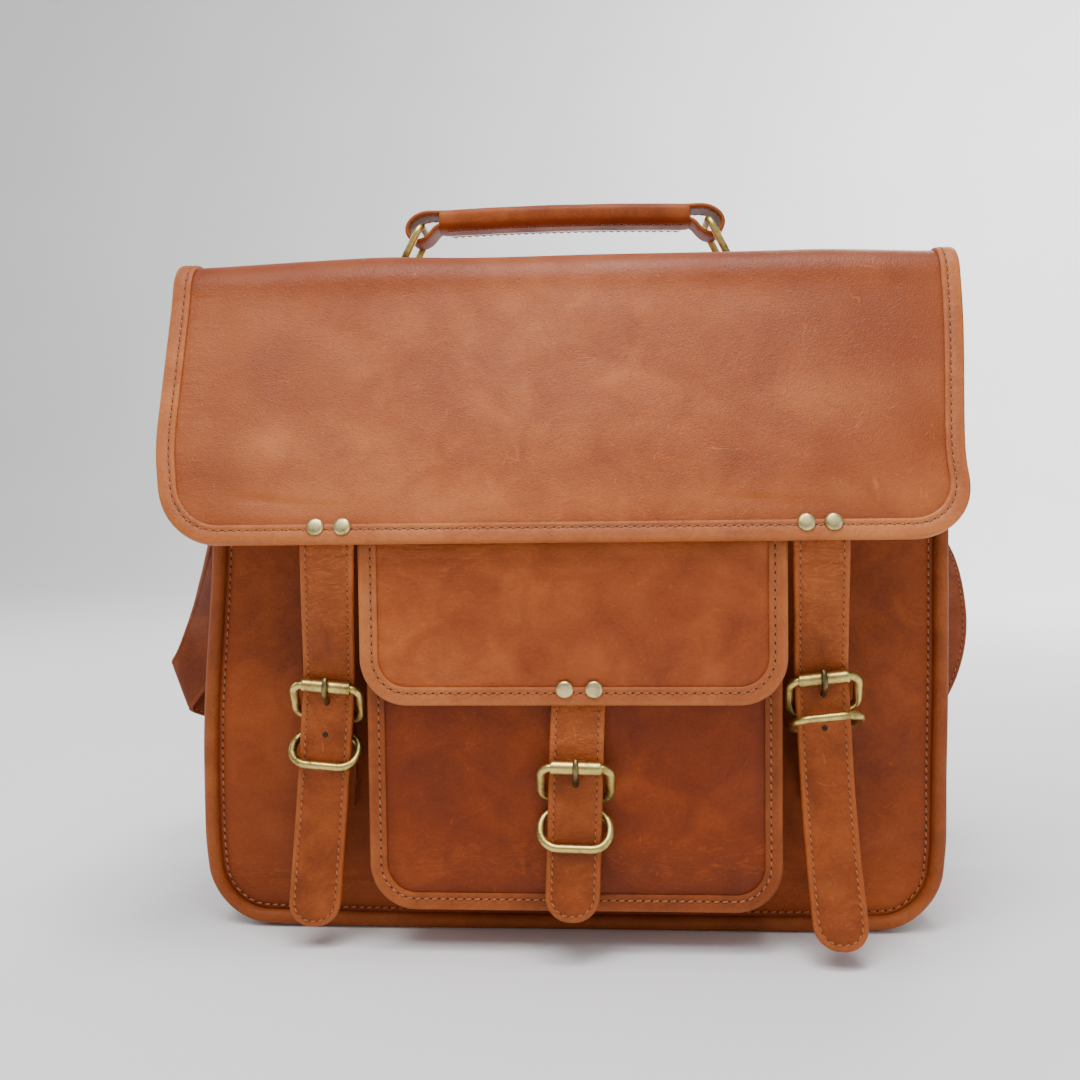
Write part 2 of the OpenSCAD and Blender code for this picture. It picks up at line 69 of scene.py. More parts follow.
def hinge(name):
    """Where a joint's axis lies, in millimetres."""
    return np.array(JOINTS[name]["pos_m"]) / MM


# ---------- sizes ----------

BODY_LOW, BODY_HIGH = box("front_panel")
BODY_W = BODY_HIGH[0] - BODY_LOW[0]
BODY_H = BODY_HIGH[2]
FRONT_Y = BODY_LOW[1]
BACK_Y = box("back_panel")[1][1]
LEATHER = BODY_HIGH[1] - BODY_LOW[1]
BODY_R = 28
BACK_H = box("back_binding")[1][2]
GUSSET_H = box("gusset_left")[1][2]

FLAP_W = box("flap_front_binding")[1][0] * 2
FLAP_TOP = box("flap_top_panel")[1][2]
FLAP_FLAT = box("flap_top_panel")[1][1]          # half length of the flat top
FLAP_L = 131.4                                   # length of the sloping front
FLAP_SLANT = math.radians(20)
FLAP_R = 29
FRONT_BEND = 16
BACK_BEND = box("flap_back_fold")[1][1] - FLAP_FLAT
FLAP_END = box("flap_back_fold")[0][2]
BIND_W = 9

POCKET_LOW, POCKET_HIGH = box("pocket_face")
POCKET_W = POCKET_HIGH[0] - POCKET_LOW[0]
POCKET_X = (POCKET_HIGH[0] + POCKET_LOW[0]) / 2
POCKET_Y = POCKET_LOW[1]
POCKET_R = 22
PFLAP_LOW, PFLAP_HIGH = box("pocket_flap_panel")
PFLAP_W = PFLAP_HIGH[0] - PFLAP_LOW[0]
PFLAP_Y = PFLAP_LOW[1]
PFLAP_Z = PFLAP_LOW[2]

STRAP_W = 25
STRAP_T = 3.2
WIRE_R = 1.9
RING_W = 32
FRAME_H = 20
KEEPER_H = 18
LOOP_R = WIRE_R + 2.2         # outside of the leather that folds round a bar
STITCH = 4.0
FINE_STITCH = 3.6

# The fastenings. x and z are where the roller is, and path is the strap's middle line from the top down,
# as [y, z from the roller]. In degrees: lean is how far the strap leans sideways, tilt how far its buckle
# does, and keeper_drop how far the keeper ring hangs below the level. head_x is where the strap meets
# the edge of the flap.
STRAPS = {
    "left": {"x": -111.5, "z": 126.5, "lean": 4.3, "tilt": 5.0, "head_x": -106.2, "keeper_drop": 45.2,
             "path": [[-99.5, 65.2], [-90, 35.5], [-80.8, 6], [-80, 0], [-80, -41], [-81.5, -75],
                      [-85, -115.5]]},
    "right": {"x": 120.0, "z": 130.0, "lean": -2.8, "tilt": -6.0, "head_x": 116.8, "keeper_drop": -25.7,
              "path": [[-99.5, 62], [-90, 33.5], [-80.8, 6], [-80, 0], [-80, -41], [-85, -75],
                       [-93, -101], [-102, -121]]},
    "pocket": {"x": 6.5, "z": 92.3, "lean": 2.0, "tilt": 1.5, "head_x": 8.3, "keeper_drop": 54.3,
               "path": [[-91.7, 26.6], [-96.4, 6.5], [-97.2, 0], [-97.2, -40.3], [-101.5, -71.3]]}}
FLAP_RIVETS = [-110.7, -98.3, 109.6, 121.6]
POCKET_RIVETS = [1.6, 15]

# The shoulder strap's route, as [middle, half of its width]
SLING = [
    [[-188, 0, 208.5], [0, 16, 0]],
    [[-189, 6, 196], [3, 15, -4]],
    [[-197, 28, 174], [9, 12, -7]],
    [[-211, 54, 150], [12, 5, -10]],
    [[-226, 68, 125], [12, 0, -12]],
    [[-238, 71, 107], [8, 0, -19]],
    [[-245, 75, 99], [7, 0, -20]],
    [[-237, 80, 96], [3, 0, -18]],
    [[-205, 92, 86], [-3, 0, -16]],
    [[-150, 121, 68], [-4, 0, -15]],
    [[-90, 152, 50], [-4, 0, -15]],
    [[-30, 177, 34], [-3, 0, -16]],
    [[30, 188, 23], [-1, 0, -16]],
    [[90, 184, 19], [1, 0, -16]],
    [[145, 162, 25], [4, 0, -15]],
    [[188, 128, 49], [9, 2, -13]],
    [[212, 97, 87], [13, 2, -8]],
    [[219, 75, 126], [15, 2, -2]],
    [[213, 62, 164], [14, 6, 3]],
    [[200, 34, 192], [9, 13, 2]],
    [[190, 6, 202], [2, 16, 0]],
    [[188, 0, 208.5], [0, 16, 0]]]
SLING_W = 32
SLING_LOOP_W = 30.4           # of the loop round each eye

X, Y = np.eye(3)[:2]


# ---------- camera and stage ----------

def camera():
    """A camera at the photograph's place: about 0.6 m in front, level with the upper half of the bag."""
    data = bpy.data.cameras.new("camera")
    data.lens = 38.05
    data.sensor_width = 36
    data.clip_start = 0.02
    eye = bpy.data.objects.new("camera", data)
    yaw, pitch, roll = (math.radians(a) for a in (3.70, -2.44, 0.70))
    turn = Matrix.Rotation(yaw, 3, "Z") @ Matrix.Rotation(pitch, 3, "X") @ Matrix.Rotation(roll, 3, "Y")
    right, ahead, up = turn.col
    eye.matrix_world = Matrix((right, up, -ahead)).transposed().to_4x4()
    eye.location = (0.0246, -0.6134, 0.2175)
    bpy.context.scene.collection.objects.link(eye)
    bpy.context.scene.camera = eye


def light(name, place, target, size, watts):
    """A square soft light that faces its target."""
    data = bpy.data.lights.new(name, "AREA")
    data.shape = "SQUARE"
    data.size = size
    data.energy = watts
    lamp = bpy.data.objects.new(name, data)
    back = Vector(place) - Vector(target)
    lamp.rotation_mode = "QUATERNION"
    lamp.rotation_quaternion = back.to_track_quat("Z", "Y")
    lamp.location = place
    bpy.context.scene.collection.objects.link(lamp)


def stage():
    """A pale floor that curves up into a backdrop, and soft studio lights."""
    front, turn_y, back_y, top, half_width = -8.0, 2.0, 3.0, 4.0, 12
    sweep = [(turn_y + math.sin(a), 1 - math.cos(a)) for a in np.linspace(0, math.pi / 2, 24)]
    profile = [(front, 0)] + sweep + [(back_y, top)]
    rows = np.array([[(x, y, z) for x in (-half_width, half_width)] for y, z in profile], float)
    mesh = bpy.data.meshes.new("floor")
    faces = [(2 * i, 2 * i + 1, 2 * i + 3, 2 * i + 2) for i in range(len(profile) - 1)]
    mesh.from_pydata(rows.reshape(-1, 3).tolist(), [], faces)
    mesh.shade_smooth()
    floor = bpy.data.objects.new("floor", mesh)
    bpy.context.scene.collection.objects.link(floor)
    surface = Surface("floor_paper")
    grain = surface.noise(surface.coords(), 3, 2)
    colour = surface.ramp(grain, [(0.3, (0.90, 0.90, 0.90)), (0.7, (0.93, 0.93, 0.93))])
    surface.finish(colour, 0.8, None)
    mesh.materials.append(surface.material)
    light("key", (-0.5, -0.95, 1.95), (0, 0, 0.2), 1.0, 23)
    light("sheen", (0.3, -1.0, 1.45), (0.03, 0, 0.3), 0.35, 3.5)
    light("top", (0.15, -0.3, 1.6), (0.05, 0, 0.3), 0.5, 13)
    light("fill", (1.4, -1.2, 0.5), (0, 0, 0.15), 1.2, 4)
    light("rim", (-1.5, 0.6, 0.9), (0, 0, 0.2), 0.8, 6)
    light("back", (0.9, 1.7, 1.5), (0, 0, 0.15), 0.9, 14)
    light("backdrop_wash", (1.6, 1.2, 1.6), (1.3, 3.0, 0.6), 1.4, 80)
    world = bpy.data.worlds.new("studio")
    world.use_nodes = True
    background = world.node_tree.nodes["Background"]
    background.inputs["Color"].default_value = (0.96, 0.97, 1.0, 1)
    background.inputs["Strength"].default_value = 0.5
    bpy.context.scene.world = world


# ---------- materials ----------

class Surface:
    """A material that is built up node by node."""

    def __init__(self, name):
        self.material = bpy.data.materials.new(name)
        self.material.use_nodes = True
        self.tree = self.material.node_tree
        self.shader = self.tree.nodes["Principled BSDF"]

    def add(self, kind, settings=None, **inputs):
        made = self.tree.nodes.new("ShaderNode" + kind)
        for key, value in (settings or {}).items():
            setattr(made, key, value)
        for key, value in inputs.items():
            self.plug(made.inputs[key.replace("_", " ")], value)
        return made

    def plug(self, socket, value):
        if isinstance(value, bpy.types.NodeSocket):
            self.tree.links.new(value, socket)
        else:
            socket.default_value = value

    def coords(self):
        return self.add("TexCoord").outputs["Object"]

    def flat(self):
        """Places on the leather as it was cut, in metres, so that the grain follows every bend."""
        return self.add("Attribute", {"attribute_name": "flat"}).outputs["Vector"]

    def marks(self):
        """How much the leather is rubbed, how much it is darkened by oil and by painted shade, and how much
        it is crumpled here.
        """
        mixed = self.add("Attribute", {"attribute_name": "wear_and_shade"}).outputs["Vector"]
        return self.add("SeparateXYZ", Vector=mixed).outputs

    def stretch(self, vector, scale):
        return self.add("Mapping", Vector=vector, Scale=scale).outputs["Vector"]

    def noise(self, vector, scale, detail=3, roughness=0.5, distortion=0.0):
        return self.add("TexNoise", Vector=vector, Scale=scale, Detail=detail, Roughness=roughness,
                        Distortion=distortion).outputs["Fac"]

    def cells(self, vector, scale):
        return self.add("TexVoronoi", Vector=vector, Scale=scale).outputs["Distance"]

    def product(self, a, b):
        """The product, kept between 0 and 1."""
        return self.math("MULTIPLY", a, b, clamp=True)

    def ridges(self, noise, width):
        """Fine lines where a noise passes its middle."""
        return self.span(self.math("ABSOLUTE", self.math("SUBTRACT", noise, 0.5)), 0.0, width, 1.0, 0.0)

    def math(self, operation, a, b=0.0, clamp=False):
        made = self.add("Math", {"operation": operation, "use_clamp": clamp})
        self.plug(made.inputs[0], a)
        self.plug(made.inputs[1], b)
        return made.outputs[0]

    def span(self, value, low, high, to_low=0.0, to_high=1.0):
        return self.add("MapRange", Value=value, From_Min=low, From_Max=high, To_Min=to_low,
                        To_Max=to_high).outputs["Result"]

    def ramp(self, value, stops):
        made = self.add("ValToRGB")
        self.plug(made.inputs[0], value)
        while len(made.color_ramp.elements) < len(stops):
            made.color_ramp.elements.new(0.5)
        for element, (place, colour) in zip(made.color_ramp.elements, stops):
            element.position = place
            element.color = (*colour, 1)
        return made.outputs["Color"]

    def mix(self, amount, a, b):
        """From colour a to colour b. The node has its colours in sockets 6 and 7, and gives socket 2."""
        made = self.add("Mix", {"data_type": "RGBA"})
        self.plug(made.inputs["Factor"], amount)
        self.plug(made.inputs[6], a)
        self.plug(made.inputs[7], b)
        return made.outputs[2]

    def bump(self, height, distance, strength=1.0, under=None):
        made = self.add("Bump", Height=height, Distance=distance, Strength=strength)
        if under is not None:
            self.plug(made.inputs["Normal"], under)
        return made.outputs["Normal"]

    def finish(self, colour, roughness, normal, **fixed):
        self.plug(self.shader.inputs["Base Color"], colour)
        self.plug(self.shader.inputs["Roughness"], roughness)
        if normal is not None:
            self.plug(self.shader.inputs["Normal"], normal)
        for key, value in fixed.items():
            self.shader.inputs[key.replace("_", " ")].default_value = value
        return self.material


def srgb(red, green, blue):
    """A colour given as 0 to 255 on a screen, in the linear values that a shader takes."""
    return tuple(c / 12.92 if c <= 0.04045 else ((c + 0.055) / 1.055) ** 2.4
                 for c in (red / 255, green / 255, blue / 255))


def shade(tone, *factors):
    """A colour made darker or paler, with one factor or one for each channel."""
    return tuple(min(1, c * f) for c, f in zip(tone, factors * (3 // len(factors))))


def leather(name, tones, roughness=0.46, grain=1.0, hairs=0.22, cracks=0.0, bloom_and_sheen=0.0, shine=0.2):
    """Pull-up leather with oil in it: mottled with a haze of waxy film and painted sheen, paler where rubbed,
    darker from oil and from painted shade, with pores and fine hairs.
    """
    dark, middle, pale = (srgb(*tone) for tone in tones)
    deep = (*shade(dark, 0.80, 0.66, 0.52), 1)
    worn = (*(c + 0.008 for c in shade(pale, 1.28, 1.40, 1.35)), 1)
    cool = (*(c * 0.8 + 0.2 * sum(middle) / 3 + 0.012 for c in middle), 1)
    s = Surface(name)
    flat = s.flat()
    rubbed, oiled_and_shaded, crumpled = s.marks()
    # the mottled ground colour
    cloud = s.noise(flat, 11, 4, 0.55, 0.9)
    patch = s.noise(flat, 42, 5, 0.62, 1.2)
    speck = s.noise(flat, 620, 3, 0.7)
    tone = s.math("ADD", s.math("MULTIPLY", cloud, 0.50), s.math("MULTIPLY", patch, 0.32))
    tone = s.math("ADD", tone, s.math("MULTIPLY", speck, 0.18))
    colour = s.ramp(tone, [(0.36, dark), (0.50, middle), (0.66, pale)])
    # a greyish haze in patches: partly a waxy film on the leather, partly painted sheen
    haze = s.noise(s.stretch(flat, (0.7, 1.2, 1)), 17, 4, 0.55, 0.6)
    colour = s.mix(s.span(haze, 0.48, 0.66, 0.0, bloom_and_sheen), colour, cool)
    # places darkened by oil and by painted shade, and rubbed places
    colour = s.mix(s.product(oiled_and_shaded, s.span(patch, 0.3, 0.7, 0.55, 1.0)), colour, deep)
    streak = s.noise(s.stretch(flat, (1, 0.5, 1)), 75, 5, 0.7, 1.0)
    colour = s.mix(s.product(rubbed, s.span(streak, 0.25, 0.7, 0.3, 1.0)), colour, worn)
    # hair-fine scratches and nicks
    broken = s.span(s.noise(flat, 64, 2), 0.54, 0.62)
    hair = s.product(s.ridges(s.noise(flat, 31, 2, 0.5, 1.4), 0.007), broken)
    nick = s.span(s.noise(s.stretch(flat, (1, 0.35, 1)), 330, 1), 0.745, 0.80)
    hair = s.math("MAXIMUM", hair, nick)
    colour = s.mix(s.math("MULTIPLY", hair, hairs), colour, worn)
    # creases where it is crumpled
    ridge = s.ridges(s.noise(s.stretch(flat, (0.45, 1.5, 1)), 105, 3, 0.6, 1.6), 0.03)
    fold = s.product(ridge, s.span(patch, 0.38, 0.54))
    crazed = s.product(fold, s.math("ADD", crumpled, cracks * 0.3))
    colour = s.mix(s.math("MULTIPLY", crazed, 0.42), colour, worn)
    # pores and grain
    pores = s.cells(flat, 1150)
    pits = s.span(s.noise(flat, 1500, 2, 0.5), 0.66, 0.76)
    colour = s.mix(s.math("MULTIPLY", pits, 0.45), colour, deep)
    grains = s.noise(s.stretch(flat, (1, 1.5, 1)), 300, 5, 0.66, 1.0)
    height = s.math("ADD", s.math("MULTIPLY", pores, 0.4), s.math("MULTIPLY", grains, 0.6))
    height = s.math("SUBTRACT", height, s.math("MULTIPLY", pits, 0.5))
    height = s.math("SUBTRACT", height, s.math("MULTIPLY", hair, 0.15))
    wrinkle = s.noise(s.stretch(flat, (0.35, 1.8, 1)), 120, 4, 0.6, 0.8)
    wrinkle = s.math("MULTIPLY", wrinkle, s.math("ADD", crumpled, cracks * 0.4))
    normal = s.bump(height, 0.00034 * grain, 0.8, s.bump(wrinkle, 0.0019, 0.8))
    gloss = s.span(s.noise(flat, 55, 4), 0.3, 0.7, roughness - 0.05, roughness + 0.09)
    gloss = s.math("ADD", gloss, s.math("MULTIPLY", s.span(pores, 0.0, 0.6), 0.05))
    return s.finish(colour, gloss, normal, Specular_IOR_Level=shine)


def thread(name, tone):
    """Waxed thread, with the twist of its strands."""
    s = Surface(name)
    flat = s.flat()
    twist = s.add("TexWave", {"wave_type": "BANDS", "bands_direction": "DIAGONAL"}, Vector=flat,
                  Scale=330, Distortion=0.6, Detail=1).outputs["Fac"]
    soft = s.noise(flat, 900, 2)
    colour = s.ramp(s.math("MULTIPLY", twist, soft), [(0.1, shade(tone, 0.62)), (0.5, tone)])
    return s.finish(colour, s.span(soft, 0.3, 0.7, 0.5, 0.68), s.bump(twist, 0.00012, 0.8))


def needle_hole(name):
    """The pits that the needle left: their near-black colour is painted shade for the inside of the holes."""
    s = Surface(name)
    depth = s.noise(s.flat(), 700, 2)
    colour = s.ramp(depth, [(0.3, srgb(26, 12, 6)), (0.7, srgb(52, 24, 12))])
    return s.finish(colour, s.span(depth, 0.3, 0.7, 0.75, 0.9), None)


def brass(name, bright, dull, polish=0.27):
    """Antique brass: a brown patina, rubbed back to bright metal here and there."""
    s = Surface(name)
    place = s.coords()
    film = s.noise(place, 90, 5, 0.6, 0.6)
    fleck = s.noise(place, 520, 4, 0.6)
    tone = s.math("ADD", s.math("MULTIPLY", film, 0.7), s.math("MULTIPLY", fleck, 0.3))
    half = tuple((a + b) / 2 for a, b in zip(bright, dull))
    colour = s.ramp(tone, [(0.33, dull), (0.42, half), (0.52, bright)])
    gloss = s.span(tone, 0.35, 0.62, polish + 0.16, polish)
    normal = s.bump(fleck, 0.00006, 0.4)
    return s.finish(colour, gloss, normal, Metallic=1.0)


def canvas(name, tone):
    """Plain woven cotton."""
    s = Surface(name)
    flat = s.flat()
    threads = [s.add("TexWave", {"bands_direction": way}, Vector=flat, Scale=420, Distortion=0.3)
               for way in "XY"]
    weave = s.math("MAXIMUM", *(made.outputs["Fac"] for made in threads))
    dust = s.noise(flat, 40, 4)
    colour = s.ramp(dust, [(0.3, shade(tone, 0.75)), (0.7, tone)])
    colour = s.mix(s.span(weave, 0.3, 1.0, 0.35, 0.0), colour, (*shade(tone, 0.45), 1))
    return s.finish(colour, s.span(dust, 0.3, 0.7, 0.8, 0.95), s.bump(weave, 0.0002, 0.7), Sheen_Weight=0.2)


# Dark, middle and pale tone of each leather as screen colours, and what is its own in the finish
LEATHERS = {
    "flap": ([(134, 61, 22), (160, 81, 36), (186, 104, 52)],
             {"roughness": 0.36, "hairs": 0.3, "cracks": 0.12, "bloom_and_sheen": 0.16, "shine": 0.26}),
    "body": ([(106, 43, 12), (136, 60, 19), (162, 78, 30)], {"roughness": 0.50}),
    "gusset": ([(88, 35, 10), (116, 50, 17), (146, 70, 28)], {"roughness": 0.52}),
    "pocket": ([(94, 34, 6), (121, 47, 9), (148, 64, 16)],
               {"roughness": 0.42, "hairs": 0.35, "cracks": 0.15}),
    "pocket_flap": ([(124, 50, 12), (152, 70, 22), (178, 92, 38)],
                    {"roughness": 0.40, "grain": 1.2, "cracks": 0.35, "shine": 0.28}),
    "binding": ([(134, 64, 25), (162, 85, 38), (188, 110, 56)],
                {"roughness": 0.44, "hairs": 0.1, "shine": 0.3}),
    "piping": ([(104, 46, 14), (132, 62, 22), (160, 84, 36)], {"hairs": 0.1}),
    "strap": ([(102, 42, 10), (136, 62, 18), (168, 86, 34)],
              {"roughness": 0.42, "grain": 2.0, "hairs": 0.35, "cracks": 0.7}),
    "handle": ([(116, 50, 16), (144, 70, 26), (170, 92, 42)], {"roughness": 0.42, "hairs": 0.1}),
    "sling": ([(84, 34, 10), (114, 50, 18), (144, 70, 28)], {"roughness": 0.50})}


def make_materials():
    """Every finish in the scene, by name."""
    made = {name: leather(f"{name}_leather", tones, **finish) for name, (tones, finish) in LEATHERS.items()}
    return {
        **made,
        "thread": thread("thread", srgb(178, 104, 56)),
        "hole": needle_hole("needle_holes"),
        "brass": brass("antique_brass", srgb(208, 184, 110), srgb(92, 73, 30)),
        "steel": brass("antique_brass_dark", srgb(128, 114, 74), srgb(46, 38, 20), 0.32),
        "rivet": brass("rivet_brass", srgb(214, 196, 142), srgb(124, 102, 52), 0.30),
        "lining": canvas("lining_canvas", srgb(150, 130, 100)),
        "padding": canvas("divider_canvas", srgb(128, 112, 88))}


# ---------- lines ----------

def ease(value, low, high):
    """0 below low, 1 above high and smooth between them."""
    t = np.clip((value - low) / (high - low), 0, 1)
    return t * t * (3 - 2 * t)


def waves(x, y, size, seed):
    """A smooth random height of about -1 to 1, with swells of that size."""
    chance = np.random.default_rng(seed)
    total = 0
    for _ in range(7):
        angle = chance.uniform(0, math.pi)
        pitch = 2 * math.pi / (size * chance.uniform(0.7, 1.6))
        total = total + np.sin(pitch * (x * math.cos(angle) + y * math.sin(angle)) + chance.uniform(0, 6.28))
    return total / 3.5


def crease(x, y, a, b, depth, width):
    """A soft dent along the line from a to b."""
    a, b = np.array(a, float), np.array(b, float)
    run = b - a
    t = np.clip(((x - a[0]) * run[0] + (y - a[1]) * run[1]) / (run @ run), 0, 1)
    gap = np.hypot(x - a[0] - t * run[0], y - a[1] - t * run[1])
    fade = np.sin(np.clip(t, 0.02, 0.98) * math.pi) ** 0.6
    return -depth * fade * np.exp(-(gap / width) ** 2)


def rounded(points, rounds=3):
    """An open line of points with its corners rounded."""
    p = np.asarray(points, float)
    for _ in range(rounds):
        near = 0.75 * p[:-1] + 0.25 * p[1:]
        far = 0.25 * p[:-1] + 0.75 * p[1:]
        p = np.vstack([p[:1], np.stack([near, far], 1).reshape(-1, p.shape[1]), p[-1:]])
    return p


def unit(v):
    return v / np.maximum(np.linalg.norm(v, axis=-1, keepdims=True), 1e-9)


def arc(centre, radius, start, end, count=16):
    """Points [y, z] on an arc, with angles in degrees from +Y towards +Z."""
    a = np.radians(np.linspace(start, end, count))
    return np.array(centre) + radius * np.stack([np.cos(a), np.sin(a)], 1)


def ribbon(middle, sides, relief=None, rounds=3):
    """The way from a flat strip to its place in space: (across, along, out) becomes a point.
    Along starts at the first point of the middle line. relief(across, along) adds to out."""
    line = rounded(np.hstack([np.asarray(middle, float), np.broadcast_to(sides, np.shape(middle))]), rounds)
    mid, side = line[:, :3], unit(line[:, 3:])
    along = np.concatenate([[0], np.cumsum(np.linalg.norm(np.diff(mid, axis=0), axis=1))])
    out = unit(np.cross(side, np.gradient(mid, along, axis=0)))

    def place(x, s, h):
        x, s, h = np.broadcast_arrays(*(np.asarray(v, float) for v in (x, s, h)))
        if relief is not None:
            h = h + relief(x, s)

        def pick(table):
            return np.stack([np.interp(s, along, table[:, k]) for k in range(3)], -1)
        return pick(mid) + x[..., None] * pick(side) + h[..., None] * pick(out)
    place.length = along[-1]
    return place


def pouch_gap(x, z, width, low, radius):
    """How far inside the edge of an upright outline with round lower corners a point lies."""
    dx = width / 2 - np.abs(x)
    dz = z - low
    corner = radius - np.hypot(np.maximum(radius - dx, 0), np.maximum(radius - dz, 0))
    return np.where((dx < radius) & (dz < radius), corner, np.minimum(dx, dz))


def pouch_line(width, low, high, radius, inset=0.0, sides=60, bends=14, base=60):
    """Down the left side, round the bottom and up the right side: points, and which way is inwards."""
    half, floor, r = width / 2 - inset, low + inset, radius - inset
    down = np.linspace(high, floor + r, sides, endpoint=False)
    turn = np.radians(np.linspace(180, 270, bends, endpoint=False))
    left = np.vstack([
        np.stack([np.full(sides, -half), down], 1),
        np.stack([-half + r + r * np.cos(turn), floor + r + r * np.sin(turn)], 1)])
    inward = np.vstack([np.tile([1.0, 0.0], (sides, 1)), np.stack([-np.cos(turn), -np.sin(turn)], 1)])
    flat = np.stack([np.linspace(-half + r, half - r, base), np.full(base, floor)], 1)
    mirror = np.array([-1.0, 1.0])
    return (np.vstack([left, flat, left[::-1] * mirror]),
            np.vstack([inward, np.tile([0.0, 1.0], (base, 1)), inward[::-1] * mirror]))


# ---------- mesh parts ----------

def part(points, flat, faces, wear_and_shade=0.0, material=0):
    """Part of a mesh: its points in space and on the flat leather, and its faces."""
    points = np.asarray(points, float).reshape(-1, 3)
    flat = np.asarray(flat, float).reshape(-1, 3)
    wear_and_shade = np.asarray(wear_and_shade, float)
    full = np.zeros((len(points), 3))
    if wear_and_shade.size == full.size:
        full[:] = wear_and_shade.reshape(-1, 3)
    else:
        full[:, 0] = wear_and_shade.reshape(-1)
    return {"points": points, "flat": flat, "faces": faces, "wear_and_shade": full, "material": material}


def marks(rubbed=0.0, oiled_and_shaded=0.0, crumpled=0.0):
    """What a stretch of leather has been through: paler where rubbed, darker from oil and from painted shade,
    fine creases.
    """
    return np.stack(np.broadcast_arrays(rubbed, oiled_and_shaded, crumpled), -1)


def ring_faces(rings, count, caps="fan", loop=False):
    """Faces of a tube made of rings of points, with its ends closed."""
    i = np.arange(rings if loop else rings - 1)[:, None]
    j = np.arange(count)[None, :]
    after, beside = (i + 1) % rings, (j + 1) % count
    quads = np.stack([i * count + j, i * count + beside, after * count + beside, after * count + j], -1)
    faces = quads.reshape(-1, 4).tolist()
    for base in ((0, (rings - 1) * count) if not loop else ()):
        if caps == "fan":
            faces.append(list(range(base, base + count)))
        if caps == "strip":
            faces += [[base + k, base + k + 1, base + count - 2 - k, base + count - 1 - k]
                      for k in range(count // 2 - 1)]
    return faces


def band(place, xs, ss, front, back, wear_and_shade=None):
    """A strip with straight sides. front and back give its two faces as functions of across and along."""
    x, s = np.meshgrid(xs, ss)
    x2, s2 = np.hstack([x, x[:, ::-1]]), np.hstack([s, s[:, ::-1]])
    h = np.hstack([front(x, s), back(x, s)[:, ::-1]])
    worn = np.zeros(h.shape) if wear_and_shade is None else np.hstack([wear_and_shade(x, s), wear_and_shade(x, s)[:, ::-1]])
    return part(place(x2, s2, h), np.stack([x2, s2, h], -1), ring_faces(len(ss), 2 * len(xs), "strip"), worn)


def inside(*spot):
    """The height of a single layer's inner face."""
    return np.full(spot[-1].shape, -LEATHER)


def rimmed(place, half, edge, step, rows, rub):
    """A strip with two faces alike. edge lists [distance from a long edge, half thickness], rows is a count
    or a list of places along, and rub is how pale the long edges are and from where to where it fades."""
    rim = np.array(edge, float)
    pale, low, high = rub

    def face(x, s):
        return np.interp(half - np.abs(x), *rim.T)
    xs = columns(half, [gap for gap, _ in edge if gap < half], step)
    ss = rows if np.ndim(rows) else np.linspace(0, place.length, rows)
    return band(place, xs, ss, face, lambda x, s: -face(x, s),
                lambda x, s: pale * (1 - ease(half - np.abs(x), low, high)))


def sheet(place, outline, front, back, insets, wear_and_shade=None, counts=(60, 14, 60), shift=0.0):
    """A closed slab with round lower corners. Its points follow the outline near the edge, row by row,
    so that a seam or a step can run round the corners. front and back are functions of the distance
    from the edge and of the place."""
    width, low, high, radius = outline
    sides, bends, base = counts
    rings = [pouch_line(width, low, high, radius, inset, sides, bends, base)[0] for inset in insets]
    count = len(rings[0])
    inner = rings[-1]
    rows = sides + bends
    t = np.linspace(0, 1, base)[1:-1, None]
    inside = [inner[k] * (1 - t) + inner[count - 1 - k] * t for k in range(rows)]
    flat = np.vstack(rings + inside)
    faces = []
    for level in range(len(rings) - 1):
        a = level * count + np.arange(count - 1)
        faces += np.stack([a, a + 1, a + 1 + count, a + count], 1).tolist()
    first = (len(rings) - 1) * count
    start = len(rings) * count

    def row(k):
        if k == rows:
            return [first + rows + j for j in range(base)]
        return [first + k] + [start + k * (base - 2) + j for j in range(base - 2)] + [first + count - 1 - k]
    for k in range(rows):
        upper, lower = row(k), row(k + 1)
        faces += [[upper[j], lower[j], lower[j + 1], upper[j + 1]] for j in range(base - 1)]
    x, s = flat[:, 0], flat[:, 1]
    gap = pouch_gap(x, s, width, low, radius)
    total = len(flat)
    rim = list(range(count)) + [level * count + count - 1 for level in range(1, len(rings))]
    rim += row(0)[::-1][1:-1] + [level * count for level in range(len(rings) - 1, 0, -1)]
    walls = [[rim[k], rim[(k + 1) % len(rim)], rim[(k + 1) % len(rim)] + total, rim[k] + total]
             for k in range(len(rim))]
    under = [[v + total for v in reversed(face)] for face in faces]
    h_front, h_back = front(gap, x, s), back(gap, x, s)
    points = np.vstack([place(x + shift, s, h_front), place(x + shift, s, h_back)])
    cut = np.vstack([np.stack([x + shift, s, h_front], 1), np.stack([x + shift, s, h_back], 1)])
    worn = np.zeros(total) if wear_and_shade is None else wear_and_shade(gap, x, s)
    return part(points, cut, faces + under + walls, np.concatenate([worn, worn]))


def edging(place, line, profile, wear_and_shade, shift=0.0):
    """A closed profile of [inwards, out] swept along an edge."""
    points, inward = line
    inset, out = np.array(profile, float).T
    flat = points[:, None, :] + inward[:, None, :] * inset[None, :, None]
    x, s = flat[..., 0] + shift, flat[..., 1]
    h = np.broadcast_to(out, x.shape)
    worn = np.broadcast_to(wear_and_shade(inset, out), x.shape)
    return part(place(x, s, h), np.stack([x, s, h], -1), ring_faces(len(points), len(profile)), worn)


def even(line, pitch):
    """Points at even steps along a line, and the directions there."""
    line = np.asarray(line, float)
    along = np.concatenate([[0], np.cumsum(np.linalg.norm(np.diff(line, axis=0), axis=1))])
    count = max(2, int(round(along[-1] / pitch)))
    at = np.linspace(0, along[-1], count + 1)

    def where(t):
        return np.stack([np.interp(t, along, line[:, k]) for k in range(line.shape[1])], -1)
    return at, where


